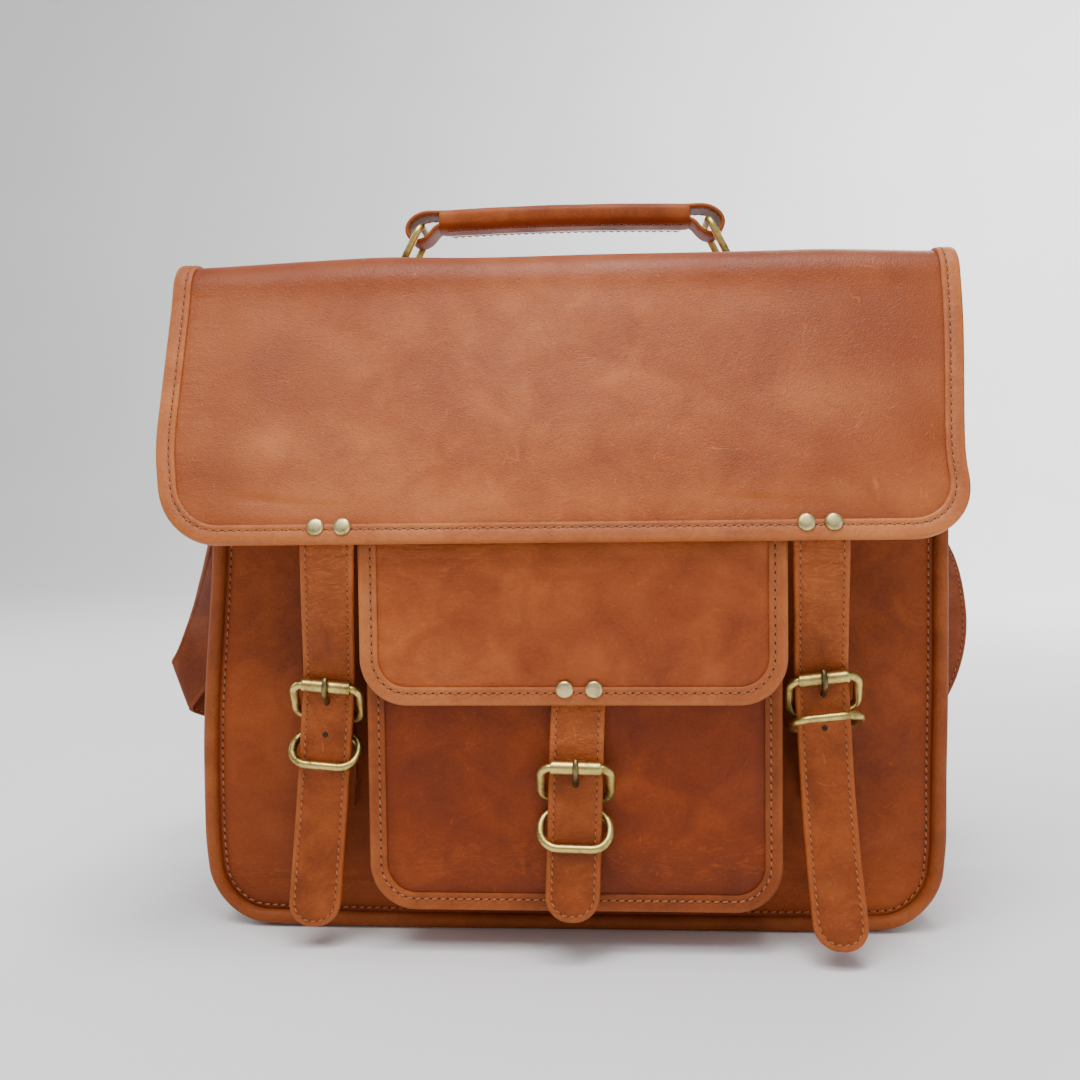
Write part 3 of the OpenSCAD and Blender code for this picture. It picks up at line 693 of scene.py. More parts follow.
def stitches(place, line, pitch, lift, shift=0.0, thick=0.45):
    """Thread stitches and needle holes along a line on the leather. Each stitch dips into its holes.
    pitch is the length of a stitch, and lift is how far the leather's surface lies from the panel's."""
    at, where = even(line, pitch)
    step = at[1] - at[0]
    t = np.linspace(0.19, 0.81, 6)
    centre = where(at[:-1, None] + t * step)
    ahead = unit(where(at[:-1, None] + (t + 0.05) * step) - where(at[:-1, None] + (t - 0.05) * step))
    across = np.stack([-ahead[..., 1], ahead[..., 0]], -1)
    swell = np.sin(np.linspace(0.09, 0.91, 6) * math.pi)
    a = np.linspace(0, 2 * math.pi, 6, endpoint=False)
    wide = thick * (0.55 + 0.45 * swell)
    slant = np.linspace(-0.22, 0.22, 6)
    sideways = (wide[:, None] * np.cos(a) + slant[:, None])[..., None]
    flat = centre[..., None, :] + across[..., None, :] * sideways
    h = lift - 0.25 + 0.5 * swell[:, None] + wide[:, None] * np.sin(a)
    x, s = flat[..., 0] + shift, flat[..., 1]
    h = np.broadcast_to(h, x.shape)
    pattern = np.array(ring_faces(6, 6, None))
    ends = np.array([[0, 1, 2, 3, 4, 5], [35, 34, 33, 32, 31, 30]])
    count = len(x)
    base = np.arange(count)[:, None, None] * 36
    faces = (pattern + base).reshape(-1, 4).tolist() + (ends + base).reshape(-1, 6).tolist()
    threads = part(place(x, s, h), np.stack([x, s, h], -1), faces)
    spot = where(at)
    r = np.array([0.25, 0.66, 0.25])[:, None]
    up = lift + np.array([0.10, 0.02, -0.3])[:, None]
    b = np.linspace(0, 2 * math.pi, 7, endpoint=False)
    x = spot[:, 0, None, None] + r * np.cos(b) + shift
    s = spot[:, 1, None, None] + r * np.sin(b)
    h = np.broadcast_to(up, x.shape)
    pattern = np.array(ring_faces(3, 7, None))
    ends = np.array([list(range(7)), list(range(20, 13, -1))])
    base = np.arange(len(spot))[:, None, None] * 21
    faces = (pattern + base).reshape(-1, 4).tolist() + (ends + base).reshape(-1, 7).tolist()
    return [threads, part(place(x, s, h), np.stack([x, s, h], -1), faces, material=1)]


def turned(place, x, s, profile, count=32, material=0):
    """A round piece that stands on the leather: its profile is [radius, out] from the middle of its top."""
    r, out = np.array(profile, float).T
    a = np.linspace(0, 2 * math.pi, count, endpoint=False)
    xs = x + r[:, None] * np.cos(a)
    ss = s + r[:, None] * np.sin(a)
    h = np.broadcast_to(out[:, None], xs.shape)
    return part(place(xs, ss, h), np.stack([xs, ss, h], -1), ring_faces(len(r), count), material=material)


def wire(middle, radii, up, sides=14, loop=False):
    """A round bar along a line of points. radii may change along it."""
    p = np.asarray(middle, float)
    if loop:
        ahead = unit(np.roll(p, -1, 0) - np.roll(p, 1, 0))
    else:
        ahead = unit(np.gradient(p, axis=0))
    one = unit(np.cross(ahead, up))
    two = np.cross(one, ahead)
    a = np.linspace(0, 2 * math.pi, sides, endpoint=False)
    radii = np.broadcast_to(radii, len(p))[:, None, None]
    circle = one[:, None, :] * np.cos(a)[:, None] + two[:, None, :] * np.sin(a)[:, None]
    points = p[:, None, :] + radii * circle
    return part(points, points, ring_faces(len(p), sides, "fan", loop))


def rod(a, b, profile, sides=24):
    """A turned bar from a to b: its profile is [share of the way, radius]."""
    a, b = np.array(a, float), np.array(b, float)
    share, radius = np.array(profile, float).T
    middle = a + (b - a) * share[:, None]
    ahead = unit(b - a)
    other = X if abs(ahead[0]) < 0.7 else Y
    one = unit(np.cross(ahead, other))
    two = np.cross(one, ahead)
    t = np.linspace(0, 2 * math.pi, sides, endpoint=False)
    round_it = one * np.cos(t)[:, None] + two * np.sin(t)[:, None]
    points = middle[:, None, :] + radius[:, None, None] * round_it
    return part(points, points, ring_faces(len(share), sides))


def wire_loop(width, height, corner, steps=9):
    """A rounded rectangle of points in X and Z. Its lower bar lies on the X axis."""
    line = []
    for cx, cz, start in ((width / 2 - corner, corner, -90), (width / 2 - corner, height - corner, 0),
                          (corner - width / 2, height - corner, 90), (corner - width / 2, corner, 180)):
        a = np.radians(np.linspace(start, start + 90, steps))
        line += [[cx + corner * math.cos(t), 0, cz + corner * math.sin(t)] for t in a]
    line = np.array(line + line[:1])
    at, where = even(line, 1.5)
    return where(at[:-1])


def turn(points, axis, degrees, origin=(0, 0, 0)):
    """Points turned about an axis through the origin given."""
    spin = np.array(Matrix.Rotation(math.radians(degrees), 3, axis))
    return (np.asarray(points, float) - origin) @ spin.T + origin


def upright(depth, way=1, soft=True):
    """The way from a flat upright panel to its place: (across, up, out) becomes a point, and depth
    gives its Y. way is -1 for a panel that is seen from behind."""
    def place(x, z, h):
        x, z, h = np.broadcast_arrays(x, z, h)
        points = np.stack([way * x, depth(x, z, h), z], -1)
        return settle(points) if soft else points
    return place


def moved(one, change):
    """A part with its points changed by a function."""
    return {**one, "points": change(one["points"])}


def piece(name, parts, materials, body, replaces=(), sharp=38, bend=None):
    """Joins parts into one object, gives it its finish, puts it on its body when there is no bend, and hides
    what it stands for.
    bend is (body that it starts on, body that it ends on, start, end); when it is given, the piece is put on
    no body and these values are not used."""
    counts = np.cumsum([0] + [len(one["points"]) for one in parts])
    mesh = bpy.data.meshes.new(name)
    faces = [[v + offset for v in face] for one, offset in zip(parts, counts) for face in one["faces"]]
    points = np.vstack([one["points"] for one in parts]) * MM
    mesh.from_pydata(points.tolist(), [], faces)
    for material in materials:
        mesh.materials.append(MATERIAL[material])
    index = np.concatenate([np.full(len(one["faces"]), one["material"]) for one in parts])
    mesh.polygons.foreach_set("material_index", index.astype(np.int32))
    for key, scale in (("flat", MM), ("wear_and_shade", 1)):
        values = np.vstack([one[key] for one in parts]) * scale
        attribute = mesh.attributes.new(key, "FLOAT_VECTOR", "POINT")
        attribute.data.foreach_set("vector", values.astype(np.float32).ravel())
    working = bmesh.new()
    working.from_mesh(mesh)
    bmesh.ops.recalc_face_normals(working, faces=working.faces)
    working.to_mesh(mesh)
    working.free()
    mesh.shade_smooth()
    mesh.set_sharp_from_angle(angle=math.radians(sharp))
    made = bpy.data.objects.new(name, mesh)
    bpy.context.scene.collection.objects.link(made)
    if replaces:
        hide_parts(*replaces)
    if bend is None:
        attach(made, body)
    else:
        first, second, start, end = bend
        tuple(np.array(start) * MM)
        tuple(np.array(end) * MM)
        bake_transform(made)
    return made


def sewn(name, threads, body, bend=None):
    """Stitches and their needle holes, as a piece."""
    return piece(name, threads, ["thread", "hole"], body, bend=bend)


def metal(name, parts, node, finish="brass"):
    """A piece of metal that stands for one CAD node and rides on the body of the same name."""
    piece(name, parts, [finish], node, [node])


def columns(half, edge_steps, step):
    """Places across a strip, close together near its two edges."""
    left = [-half + e for e in edge_steps]
    count = max(2, int(round(-2 * left[-1] / step)))
    between = np.linspace(left[-1], -left[-1], count + 1)[1:-1]
    return np.array([*left, *between, *(-x for x in reversed(left))])


# ---------- the body ----------

def settle(points):
    """The soft front spreads a little low down and leans to one side above, and the lower corners lift."""
    x, y, z = (points[..., k] for k in range(3))
    front = ease(-y, 5, 50)
    lean = (0.8 + 4.2 * ease(z, 70, 215)) * (1 - ease(z, 225, 290)) * front
    lean = lean + 3.6 * x / (BODY_W / 2) * ease(z, 0, 50) * (1 - ease(z, 90, 210)) * front
    lift = 3.6 * np.abs(x / (BODY_W / 2)) ** 6 * np.exp(-np.maximum(z, 0) / 60)
    return np.stack([x + lean, y, z + lift], -1)


def front_relief(x, z):
    gap = pouch_gap(x, z, BODY_W, 0, BODY_R)
    rise = 2.0 * (1 - np.exp(-np.maximum(gap - 9, 0) / 18)) + 0.7 * waves(x, z, 110, 3) * ease(gap, 10, 40)
    rise = rise + crease(x, z, (-168, 22), (-92, 27), 0.9, 2.2)
    rise = rise + crease(x, z, (-170, 30), (-150, 120), 0.5, 5)
    rise = rise + crease(x, z, (118, 20), (160, 46), 0.8, 2.6)
    rise = rise + crease(x, z, (160, 46), (166, 120), 0.5, 4)
    return rise


def back_relief(x, z):
    gap = pouch_gap(x, z, BODY_W, 0, BODY_R)
    rise = 2.2 * (1 - np.exp(-np.maximum(gap - 9, 0) / 22)) + 0.7 * waves(x, z, 120, 8) * ease(gap, 10, 40)
    return rise * (1 - ease(z, FLAP_END - 34, FLAP_END - 4))


front_place = upright(lambda x, z, h: FRONT_Y - h - front_relief(x, z))
back_place = upright(lambda x, z, h: BACK_Y + h + back_relief(x, z), way=-1)

# How far the rows of points near a panel's edge lie from it
PANEL_EDGE = [4.0, 6.6, 7.6, 8.4, 9.0, 9.6, 10.2, 11.0, 12.5, 15, 20]


def panel_front(gap, x, z):
    """A panel's height from its edge inwards: under the piping, the valley, the seam and the swell."""
    return np.interp(gap, [4, 7, 8.2, 9.6, 11, 14, 40], [-1.2, -0.9, -0.1, -0.45, 0.05, 0.25, 0.3])


def panel_wear_and_shade(gap, x, z):
    worn = 0.2 * ease(waves(x, z, 50, 21), 0.35, 0.9) * ease(gap, 8, 30)
    fold = np.exp(-((z - 24) / 9) ** 2) * ease(np.abs(x), 60, 110)
    dark = 0.45 * (1 - ease(gap, 8, 14)) + 0.2 * ease(waves(x, z, 85, 22), 0.0, 0.9)
    # the left of the panel is darker towards the bottom: painted shade
    return marks(worn, dark + 0.45 * (1 - ease(z, 30, 120)) * ease(-x, 60, 110), 0.7 * fold)


def piping_profile():
    """A rounded ridge of folded leather, with a flat tail under the panel's edge."""
    bulge = arc((3.7, -0.4), 3.6, 195, -5, 13)
    return [[0.1, -2.3]] + bulge.tolist() + [[7.6, -1.3], [7.6, -2.3]]


def piping_wear(inset, out):
    return np.where(out > 1.2, 0.16, 0.0)


def body_panels():
    """The front and back panels, their piping and their seams."""
    for name, place, high in (("front", front_place, BODY_H), ("back", back_place, BACK_H)):
        outline = (BODY_W, 0, BODY_H, BODY_R)
        panel = sheet(place, outline, panel_front, inside, PANEL_EDGE, panel_wear_and_shade, (90, 16, 100))
        piece(f"{name}_panel_leather", [panel], ["body"], "bag", [f"{name}_panel"])
        line = pouch_line(BODY_W, 0, high, BODY_R, 0, 120, 20, 120)
        piece(f"{name}_piping", [edging(place, line, piping_profile(), piping_wear)], ["piping"],
              "bag", [f"{name}_binding"])
        seam = pouch_line(BODY_W, 0, high, BODY_R, 9.6, 60, 20, 60)[0]
        sewn(f"{name}_seam", stitches(place, seam, STITCH, -0.35), "bag")


def gusset_line(inset):
    """Down the left side, under the base and up the right side: the middle of the bag's side strip."""
    points, _ = pouch_line(BODY_W, 0, GUSSET_H, BODY_R, inset, 40, 16, 60)
    return np.stack([points[:, 0], np.zeros(len(points)), points[:, 1]], 1)


def gusset_relief(y, s):
    """The sides fold softly inwards along their middle, more towards the top."""
    total = 2 * GUSSET_H + BODY_W
    end = np.minimum(s, total - 50 - s)
    up = ease(GUSSET_H - end, 60, 230)
    dip = -4.5 * np.exp(-(y / 24) ** 2) * up
    return dip + 0.6 * waves(y, s, 80, 12) * ease(52 - np.abs(y), 2, 20)


def gusset():
    """The strip that makes the bag's two sides and its base."""
    flat = ribbon(gusset_line(0), Y, gusset_relief, 1)

    def place(y, s, h):
        return settle(flat(y, s, h))
    half = BACK_Y - 1.2
    xs = columns(half, [0, 0.8, 2, 4, 8], 4)
    ss = np.linspace(0, flat.length, 300)
    strip = band(place, xs, ss, lambda y, s: np.where(half - np.abs(y) < 0.1, -0.5, 0.0), inside,
                 lambda y, s: 0.12 * ease(waves(y, s, 50, 5), 0.2, 0.8))
    piece("gusset_and_base", [strip], ["gusset"], "bag",
          ["gusset_left", "gusset_right", "base_panel"])
    hems = []
    for end in (6, flat.length - 6):
        hems += stitches(place, [[-half + 4, end], [half - 4, end]], STITCH, 0.1)
    sewn("gusset_top_seams", hems, "bag")


def lining():
    """A loose canvas pouch inside the body."""
    deep = LEATHER + 0.6
    outline = (BODY_W - 2 * deep, deep, BODY_H - 6, BODY_R - deep)
    insets = [0, 2, 6, 12]
    thin = 0.8

    def slack(gap, x, z):
        return 0.8 * waves(x, z, 70, 31) * ease(gap, 4, 30)

    front = upright(lambda x, z, h: FRONT_Y + deep + 1.0 + h)
    back = upright(lambda x, z, h: BACK_Y - deep - 1.0 - h, way=-1)
    parts = [sheet(place, outline, lambda g, x, z: slack(g, x, z) + thin, slack, insets, None, (30, 8, 36))
             for place in (front, back)]
    strip = ribbon(gusset_line(deep + 0.6), Y, None, 1)
    half = BACK_Y - deep - 1.4
    parts.append(band(lambda y, s, h: settle(strip(y, s, h)), columns(half, [0, 4], 10),
                      np.linspace(5, strip.length - 5, 120),
                      lambda y, s: gusset_relief(y, s) * 0.9, lambda y, s: gusset_relief(y, s) * 0.9 - thin))
    piece("lining_pouch", parts, ["lining"], "bag", ["lining"])


def divider():
    """The padded laptop divider, crowned between its bound edges."""
    low, high = box("divider")
    outline = (high[0] - low[0], low[2], high[2], BODY_R - 6)
    middle_y = (low[1] + high[1]) / 2
    half = (high[1] - low[1]) / 2
    place = upright(lambda x, z, h: middle_y - h, soft=False)

    def crown(gap, x, z):
        edge = np.minimum(gap, high[2] - z)
        return np.interp(edge, [0, 1, 4, 6, 14, 40], [0.7, 1.2, 1.3, 0.9, 2.2, half])
    pad = sheet(place, outline, crown, lambda g, x, z: -crown(g, x, z), [0, 0.6, 1.5, 3, 5, 6, 8, 12, 16],
                None, (80, 10, 60))
    made = piece("divider_pad", [pad], ["padding"], "bag", ["divider"])
    seam = pouch_line(*outline, inset=5.8)[0]
    sewn("divider_seam", stitches(place, seam, STITCH, 0.95), "bag")


# ---------- the front pocket ----------

def pocket_relief(x, z):
    gap = pouch_gap(x - POCKET_X, z, POCKET_W, POCKET_LOW[2], POCKET_R)
    rise = 1.5 * (1 - np.exp(-np.maximum(gap - 8, 0) / 16)) + 0.5 * waves(x, z, 80, 41) * ease(gap, 8, 30)
    rise = rise + crease(x, z, (60, 25), (88, 52), 0.7, 2.4) + crease(x, z, (-84, 60), (-80, 26), 0.5, 2.5)
    return rise


pocket_place = upright(lambda x, z, h: POCKET_Y - h - pocket_relief(x, z), soft=False)


def binding_profile(width, proud, behind):
    """A flat binding folded round an edge: over the front with its row of stitches sunk in, round the
    edge and behind, as [inwards, out]."""
    rear = -LEATHER - behind
    return [[width, -0.3], [width, proud - 0.55], [width - 0.45, proud - 0.15], [width - 1.3, proud],
            [width - 2.1, proud - 0.12], [width - 2.7, proud - 0.42], [width - 3.3, proud - 0.12],
            [width - 4.2, proud + 0.05], [width * 0.35, proud + 0.15], [1.4, proud + 0.05],
            [0.5, proud - 0.35], [0.08, proud - 1.1], [0, -LEATHER / 2], [0.08, rear + 0.8],
            [0.6, rear + 0.2], [1.6, rear], [width - 1.5, rear], [width - 0.4, rear + 0.25],
            [width, -LEATHER + 0.2]]


def binding_wear(inset, out):
    return np.where(inset < 2.0, 0.26, 0.06)


def pocket_wear(gap, x, z):
    low = np.exp(-((z - POCKET_LOW[2] - 24) / 11) ** 2)
    dark = 0.2 * ease(waves(x, z, 60, 46), 0.0, 0.9) + 0.5 * (1 - ease(gap, 8, 16))
    return marks(0.16 * ease(waves(x, z, 40, 45), 0.3, 0.9) + 0.12 * low, dark, 0.9 * low)


def pocket():
    """The pocket's face, side strip, binding and seam."""
    low = POCKET_LOW[2]
    high = POCKET_HIGH[2]
    outline = (POCKET_W, low, high, POCKET_R)
    face = sheet(pocket_place, outline, lambda gap, x, z: np.interp(gap, [6, 9, 12], [0, 0, 0.2]), inside,
                 [5, 7.5, 8.6, 9.6, 11, 13.5, 17], pocket_wear, (60, 12, 70), POCKET_X)
    piece("pocket_face_leather", [face], ["pocket"], "bag", ["pocket_face"])
    line = pouch_line(POCKET_W, low, high, POCKET_R, 0, 60, 16, 80)
    edge = edging(pocket_place, line, binding_profile(8.2, 1.3, 0.6), binding_wear, POCKET_X)
    piece("pocket_binding_leather", [edge], ["piping"], "bag", ["pocket_binding"])
    seam = pouch_line(POCKET_W, low, high, POCKET_R, 5.5, 60, 16, 60)[0]
    sewn("pocket_seam", stitches(pocket_place, seam, STITCH, 1.0, POCKET_X), "bag")
    middle = (POCKET_Y + LEATHER + FRONT_Y) / 2
    points, _ = pouch_line(POCKET_W, low, high, POCKET_R, 1.2, 30, 12, 40)
    route = np.stack([points[:, 0] + POCKET_X, np.full(len(points), middle), points[:, 1]], 1)

    def sag(y, s):
        return -1.6 * np.exp(-(y / 9) ** 2) + 0.4 * waves(y, s, 50, 47)
    place = ribbon(route, Y, sag, 1)
    half = (FRONT_Y - POCKET_Y - LEATHER) / 2 + 0.6
    strip = band(place, columns(half, [0, 1, 3], 3.2), np.linspace(0, place.length, 160),
                 lambda y, s: np.full(y.shape, 1.2), lambda y, s: np.full(y.shape, -1.2))
    piece("pocket_gusset_leather", [strip], ["gusset"], "bag", ["pocket_gusset"])


# The pocket flap's outer surface from its lower edge up and over, as [y, z]
PFLAP_PATH = [[PFLAP_Y, PFLAP_Z], [PFLAP_Y, 156], [PFLAP_Y, 182], [PFLAP_Y - 0.2, 193.5],
              [PFLAP_Y + 1.8, 197.8], [PFLAP_Y + 8.6, 201.2], [FRONT_Y - 7, 207], [FRONT_Y - 3.0, 210.5],
              [FRONT_Y - 2.6, 220]]


def pocket_flap():
    """The pocket's flap in one piece, from the front panel over the pocket and down."""
    def relief(x, s):
        gap = pouch_gap(x - POCKET_X, s, PFLAP_W, 0, POCKET_R)
        rise = 1.1 * (1 - np.exp(-np.maximum(gap - 9, 0) / 14)) * (1 - ease(s, 60, 80))
        return rise + 0.5 * waves(x, s, 60, 52) * ease(gap, 6, 30)
    middle = [[0, y, z] for y, z in PFLAP_PATH]
    place = ribbon(middle, X, relief)
    outline = (PFLAP_W, 0, place.length, POCKET_R)
    bend = ("bag", "pocket_flap", (POCKET_X, PFLAP_Y, 192), (POCKET_X, PFLAP_Y, 180))

    def worn(gap, x, s):
        rubbed = 0.35 * np.exp(-((s - 76) / 9) ** 2) + 0.2 * ease(waves(x, s, 30, 55), 0.2, 0.9)
        return marks(rubbed, 0.3 * ease(waves(x, s, 55, 56), 0.2, 0.9), 0.5 * ease(-x, 0, 80))
    panel = sheet(place, outline, lambda gap, x, s: np.interp(gap, [7, 9, 11], [-0.1, 0, 0.1]), inside,
                  [5, 7.5, 8.4, 9.2, 10.4, 12.5, 16], worn, (70, 12, 76), POCKET_X)
    piece("pocket_flap_leather", [panel], ["pocket_flap"], None,
          ["pocket_flap_panel", "pocket_flap_fold", "pocket_flap_top"], bend=bend)
    line = pouch_line(PFLAP_W, 0, place.length, POCKET_R, 0, 70, 16, 80)
    edge = edging(place, line, binding_profile(8.6, 1.5, 0.8), binding_wear, POCKET_X)
    piece("pocket_flap_edge", [edge], ["binding"], None, ["pocket_flap_binding"],
          bend=bend)
    seam = pouch_line(PFLAP_W, 0, place.length - 2, POCKET_R, 6.0, 70, 16, 60)[0]
    sewn("pocket_flap_seam", stitches(place, seam, STITCH, 1.2, POCKET_X), None, bend)
    return place


# ---------- the flap ----------

def flap_path():
    """The flap's outer surface from its lower edge, up the slope, over the top and down the back."""
    slope_y = -FLAP_FLAT - FRONT_BEND * math.cos(FLAP_SLANT)
    slope_z = FLAP_TOP - FRONT_BEND + FRONT_BEND * math.sin(FLAP_SLANT)
    t = np.linspace(FLAP_L, 0, 40, endpoint=False)[:, None]
    slope = np.array([slope_y, slope_z]) - t * np.array([math.sin(FLAP_SLANT), math.cos(FLAP_SLANT)])
    front = arc((-FLAP_FLAT, FLAP_TOP - FRONT_BEND), FRONT_BEND, 160, 90)
    top = np.stack([np.linspace(-FLAP_FLAT, FLAP_FLAT, 24)[1:-1], np.full(22, FLAP_TOP)], 1)
    back = arc((FLAP_FLAT, FLAP_TOP - BACK_BEND), BACK_BEND, 90, 0)
    tail = np.array([[FLAP_FLAT + BACK_BEND, z] for z in np.linspace(FLAP_TOP - BACK_BEND, FLAP_END, 8)[1:]])
    line = np.vstack([slope, front, top, back, tail])
    return np.stack([np.zeros(len(line)), line[:, 0], line[:, 1]], 1)


def flap_relief(x, s):
    gap = pouch_gap(x, s, FLAP_W, 0, FLAP_R)
    slope = 1 - ease(s, FLAP_L - 20, FLAP_L + 14)
    rise = 1.3 * (1 - np.exp(-np.maximum(gap - 9, 0) / 25)) * slope
    rise = rise + 0.8 * waves(x, s, 130, 61) * ease(gap, 6, 60) * slope
    top = ease(s, FLAP_L + 4, FLAP_L + 40) * (1 - ease(s, FLAP_L + 70, FLAP_L + 110))
    full = (4.3 + 1.2 * np.exp(-((x + 88) / 30) ** 2)) * (1 - 0.45 * ease(np.abs(x), 120, 185))
    rise = rise + full * np.exp(-((s - FLAP_L - 15) / 15) ** 2)
    wrinkle = crease(x, s, (-150, 22), (-95, 16), 0.5, 2.5) + crease(x, s, (70, 20), (135, 15), 0.5, 2.5)
    return rise + wrinkle + 0.6 * waves(x, s, 90, 63) * top


def flap_spread(x, s):
    """The soft flap is wider than it was cut where it hangs over the body's corners."""
    high = ease(s, 0, 45) * (1 - ease(s, FLAP_L + 18, FLAP_L + 45))
    left = -(1.5 + 4.0 * ease(s, 10, 60)) * ease(-x, 110, 185)
    right = (-3.5 + 7.0 * ease(s, 20, 130)) * ease(x, 130, 185)
    return (left + right) * high


FLAP_CUT = ribbon(flap_path(), X, flap_relief, 0)


def flap_place(x, s, h):
    x, s, h = np.broadcast_arrays(*(np.asarray(v, float) for v in (x, s, h)))
    return FLAP_CUT(x, s, h) + flap_spread(x, s)[..., None] * X


FLAP_SPLIT = 195.0            # along the flap from its lower edge, in the flat top
FLAP_LENGTH = FLAP_CUT.length
FLAP_EDGE = [5.5, 7.8, 8.8, 9.6, 11, 14, 19]
FLAP_SEAM = 6.3               # from the edge


def flap_front_face(gap, x, s):
    return np.interp(gap, [6, 9, 12], [-0.05, 0, 0.15])


def flap_wear_and_shade(gap, x, s):
    pale = 0.55 * np.exp(-(np.hypot(x + 133, (s - 50) * 1.2) / 13) ** 2)
    other = 0.3 * np.exp(-(np.hypot(x - 138, (s - 70) * 1.3) / 18) ** 2)
    low = 0.22 * np.exp(-((s - 20) / 9) ** 2)
    spots = 0.12 * ease(waves(x, s, 45, 66), 0.3, 0.9)
    # a darker band along the rounded top edge: painted shade
    bend = 0.45 * np.exp(-((s - FLAP_L - 8) / 10) ** 2)
    # darker towards both sides: partly painted shade, partly the leather's own tone
    sides = 0.55 * ease(x, 20, 150) + 0.45 * ease(-x, 50, 165)
    blotch = 0.28 * ease(waves(x, s, 75, 67), 0.1, 0.9)
    return marks(pale + other + low + spots, bend + sides + blotch, 0.25 * ease(-x, 150, 178) + 0 * s)


def flap():
    """The big flap, as a front part and a back part that meet in the middle of its top."""
    bind = binding_profile(BIND_W, 1.6, 0.7)
    front_bend = ("flap_top", "flap_front", (0, -FLAP_FLAT + 4, FLAP_TOP), (0, -66, FLAP_TOP - 28))
    back_bend = ("bag", "flap_top", (0, BACK_Y + 2.4, 309), (0, FLAP_FLAT - 4, FLAP_TOP))
    panel = sheet(flap_place, (FLAP_W, 0, FLAP_SPLIT, FLAP_R), flap_front_face, inside, FLAP_EDGE, flap_wear_and_shade,
                  (90, 16, 120))
    piece("flap_front_leather", [panel], ["flap"], None,
          ["flap_front_panel", "flap_front_fold"], bend=front_bend)
    line = pouch_line(FLAP_W, 0, FLAP_SPLIT, FLAP_R, 0, 110, 22, 120)
    piece("flap_front_edge", [edging(flap_place, line, bind, binding_wear)], ["binding"],
          None, ["flap_front_binding"], bend=front_bend)
    seam = pouch_line(FLAP_W, 0, FLAP_SPLIT, FLAP_R, FLAP_SEAM, 80, 22, 60)[0]
    sewn("flap_front_seam", stitches(flap_place, seam, STITCH, 1.25), None, front_bend)
    half = FLAP_W / 2
    ss = np.linspace(FLAP_SPLIT, FLAP_LENGTH, 60)
    under_binding = FLAP_EDGE[0]
    xs = columns(half - under_binding, [gap - under_binding for gap in FLAP_EDGE], 3.2)
    rear = band(flap_place, xs, ss, lambda x, s: flap_front_face(half - np.abs(x), x, s), inside,
                lambda x, s: flap_wear_and_shade(half - np.abs(x), x, s))
    piece("flap_back_leather", [rear], ["flap"], None,
          ["flap_top_panel", "flap_back_fold"], bend=back_bend)
    edges, seams = [], []
    for side in (-1, 1):
        points = np.stack([np.full(60, side * half), ss], 1)
        inward = np.tile([-side, 0.0], (60, 1))
        edges.append(edging(flap_place, (points, inward), bind, binding_wear))
        inner = side * (half - FLAP_SEAM)
        seams += stitches(flap_place, [[inner, FLAP_SPLIT], [inner, FLAP_LENGTH - 3]], STITCH, 1.25)
    piece("flap_back_edges", edges, ["binding"], None, ["flap_top_binding"],
          bend=back_bend)
    low = FLAP_LENGTH - 6
    seams += stitches(flap_place, [[-half + 14, low], [half - 14, low]], STITCH, 0.15)
    sewn("flap_back_seams", seams, None, back_bend)


# Outlines of the rivets' caps, as [radius, out]
RIVET_CAP = [[0.02, 1.62], [1.4, 1.6], [2.5, 1.5], [3.3, 1.26], [3.85, 0.8], [4.12, 0.3], [4.15, 0.0],
             [4.05, -0.35], [0.02, -0.35]]
RIVET_BACK = [[0.02, -0.4], [3.6, -0.4], [3.9, 0.0], [3.6, 0.5], [2.0, 0.8], [0.02, 0.8]]


def rivets(pocket_flap_place):
    """Domed caps outside and flat caps behind."""
    behind = -LEATHER - STRAP_T - 0.9
    rows = (("flap", flap_place, FLAP_RIVETS, 7.4, 1.75, "flap_front"),
            ("pocket", pocket_flap_place, POCKET_RIVETS, 7.6, 1.6, "pocket_flap"))
    for name, place, spots, s, proud, body in rows:
        caps = []
        for x in spots:
            caps.append(turned(place, x, s, [[r, h + proud] for r, h in RIVET_CAP]))
            caps.append(turned(place, x, s, [[r, behind + h] for r, h in RIVET_BACK]))
        piece(f"{name}_rivet_caps", caps, ["rivet"], body, [f"{name}_rivets"])


# ---------- straps ----------

STRAP_EDGE = [0, 0.22, 0.6, 1.1, 1.8, 2.4, 2.9, 3.5, 4.4, 6.2]
HEAD_ROWS = [1.5, 8, 17]      # how far above the flap's edge the strap's head is sewn


def strap_side(gap, *_):
    """Half thickness of a two-layer strap: a round edge, a flat rim, the seam and a soft swell."""
    return np.interp(gap, [0, 0.22, 0.6, 1.1, 2.2, 2.8, 3.6, 5.0, 9, 12.5],
                     [0.35, 0.95, 1.35, 1.5, 1.5, 1.22, 1.62, 1.85, 2.0, 2.05])


def strap_back(gap, *_):
    """The same on its flatter back."""
    return -np.interp(gap, [0, 0.22, 0.6, 1.1, 2.2, 2.8, 3.6, 12.5],
                      [0.35, 0.95, 1.35, 1.5, 1.5, 1.25, 1.55, 1.6])


def strap_points(strap, head):
    """The strap's middle line in space, from its tip up to its head on the inside of the flap."""
    points = np.array([[0, y, z] for y, z in reversed(strap["path"])], float)
    points = turn(points, "Y", strap["lean"]) + [strap["x"], 0, strap["z"]]
    return np.vstack([points, head])


# Outlines of a punched hole's rim and pit, as [radius, out]
HOLE_RIM = [[0.02, -0.12], [1.3, -0.12], [1.75, 0.03], [2.3, -0.25], [0.02, -0.3]]
HOLE_PIT = [[0.02, -0.06], [1.2, -0.05], [1.35, 0], [1.35, -0.35], [0.02, -0.35]]


def strap_holes(place, spots, top):
    """Punched holes: a shallow pit in a small pressed rim, coloured near-black as painted shade for the
    inside of the hole.
    """
    parts = []
    for s in spots:
        for outline, count, material in ((HOLE_RIM, 32, 2), (HOLE_PIT, 20, 1)):
            parts.append(turned(place, 0, s, [[r, top + h] for r, h in outline], count, material))
    return parts


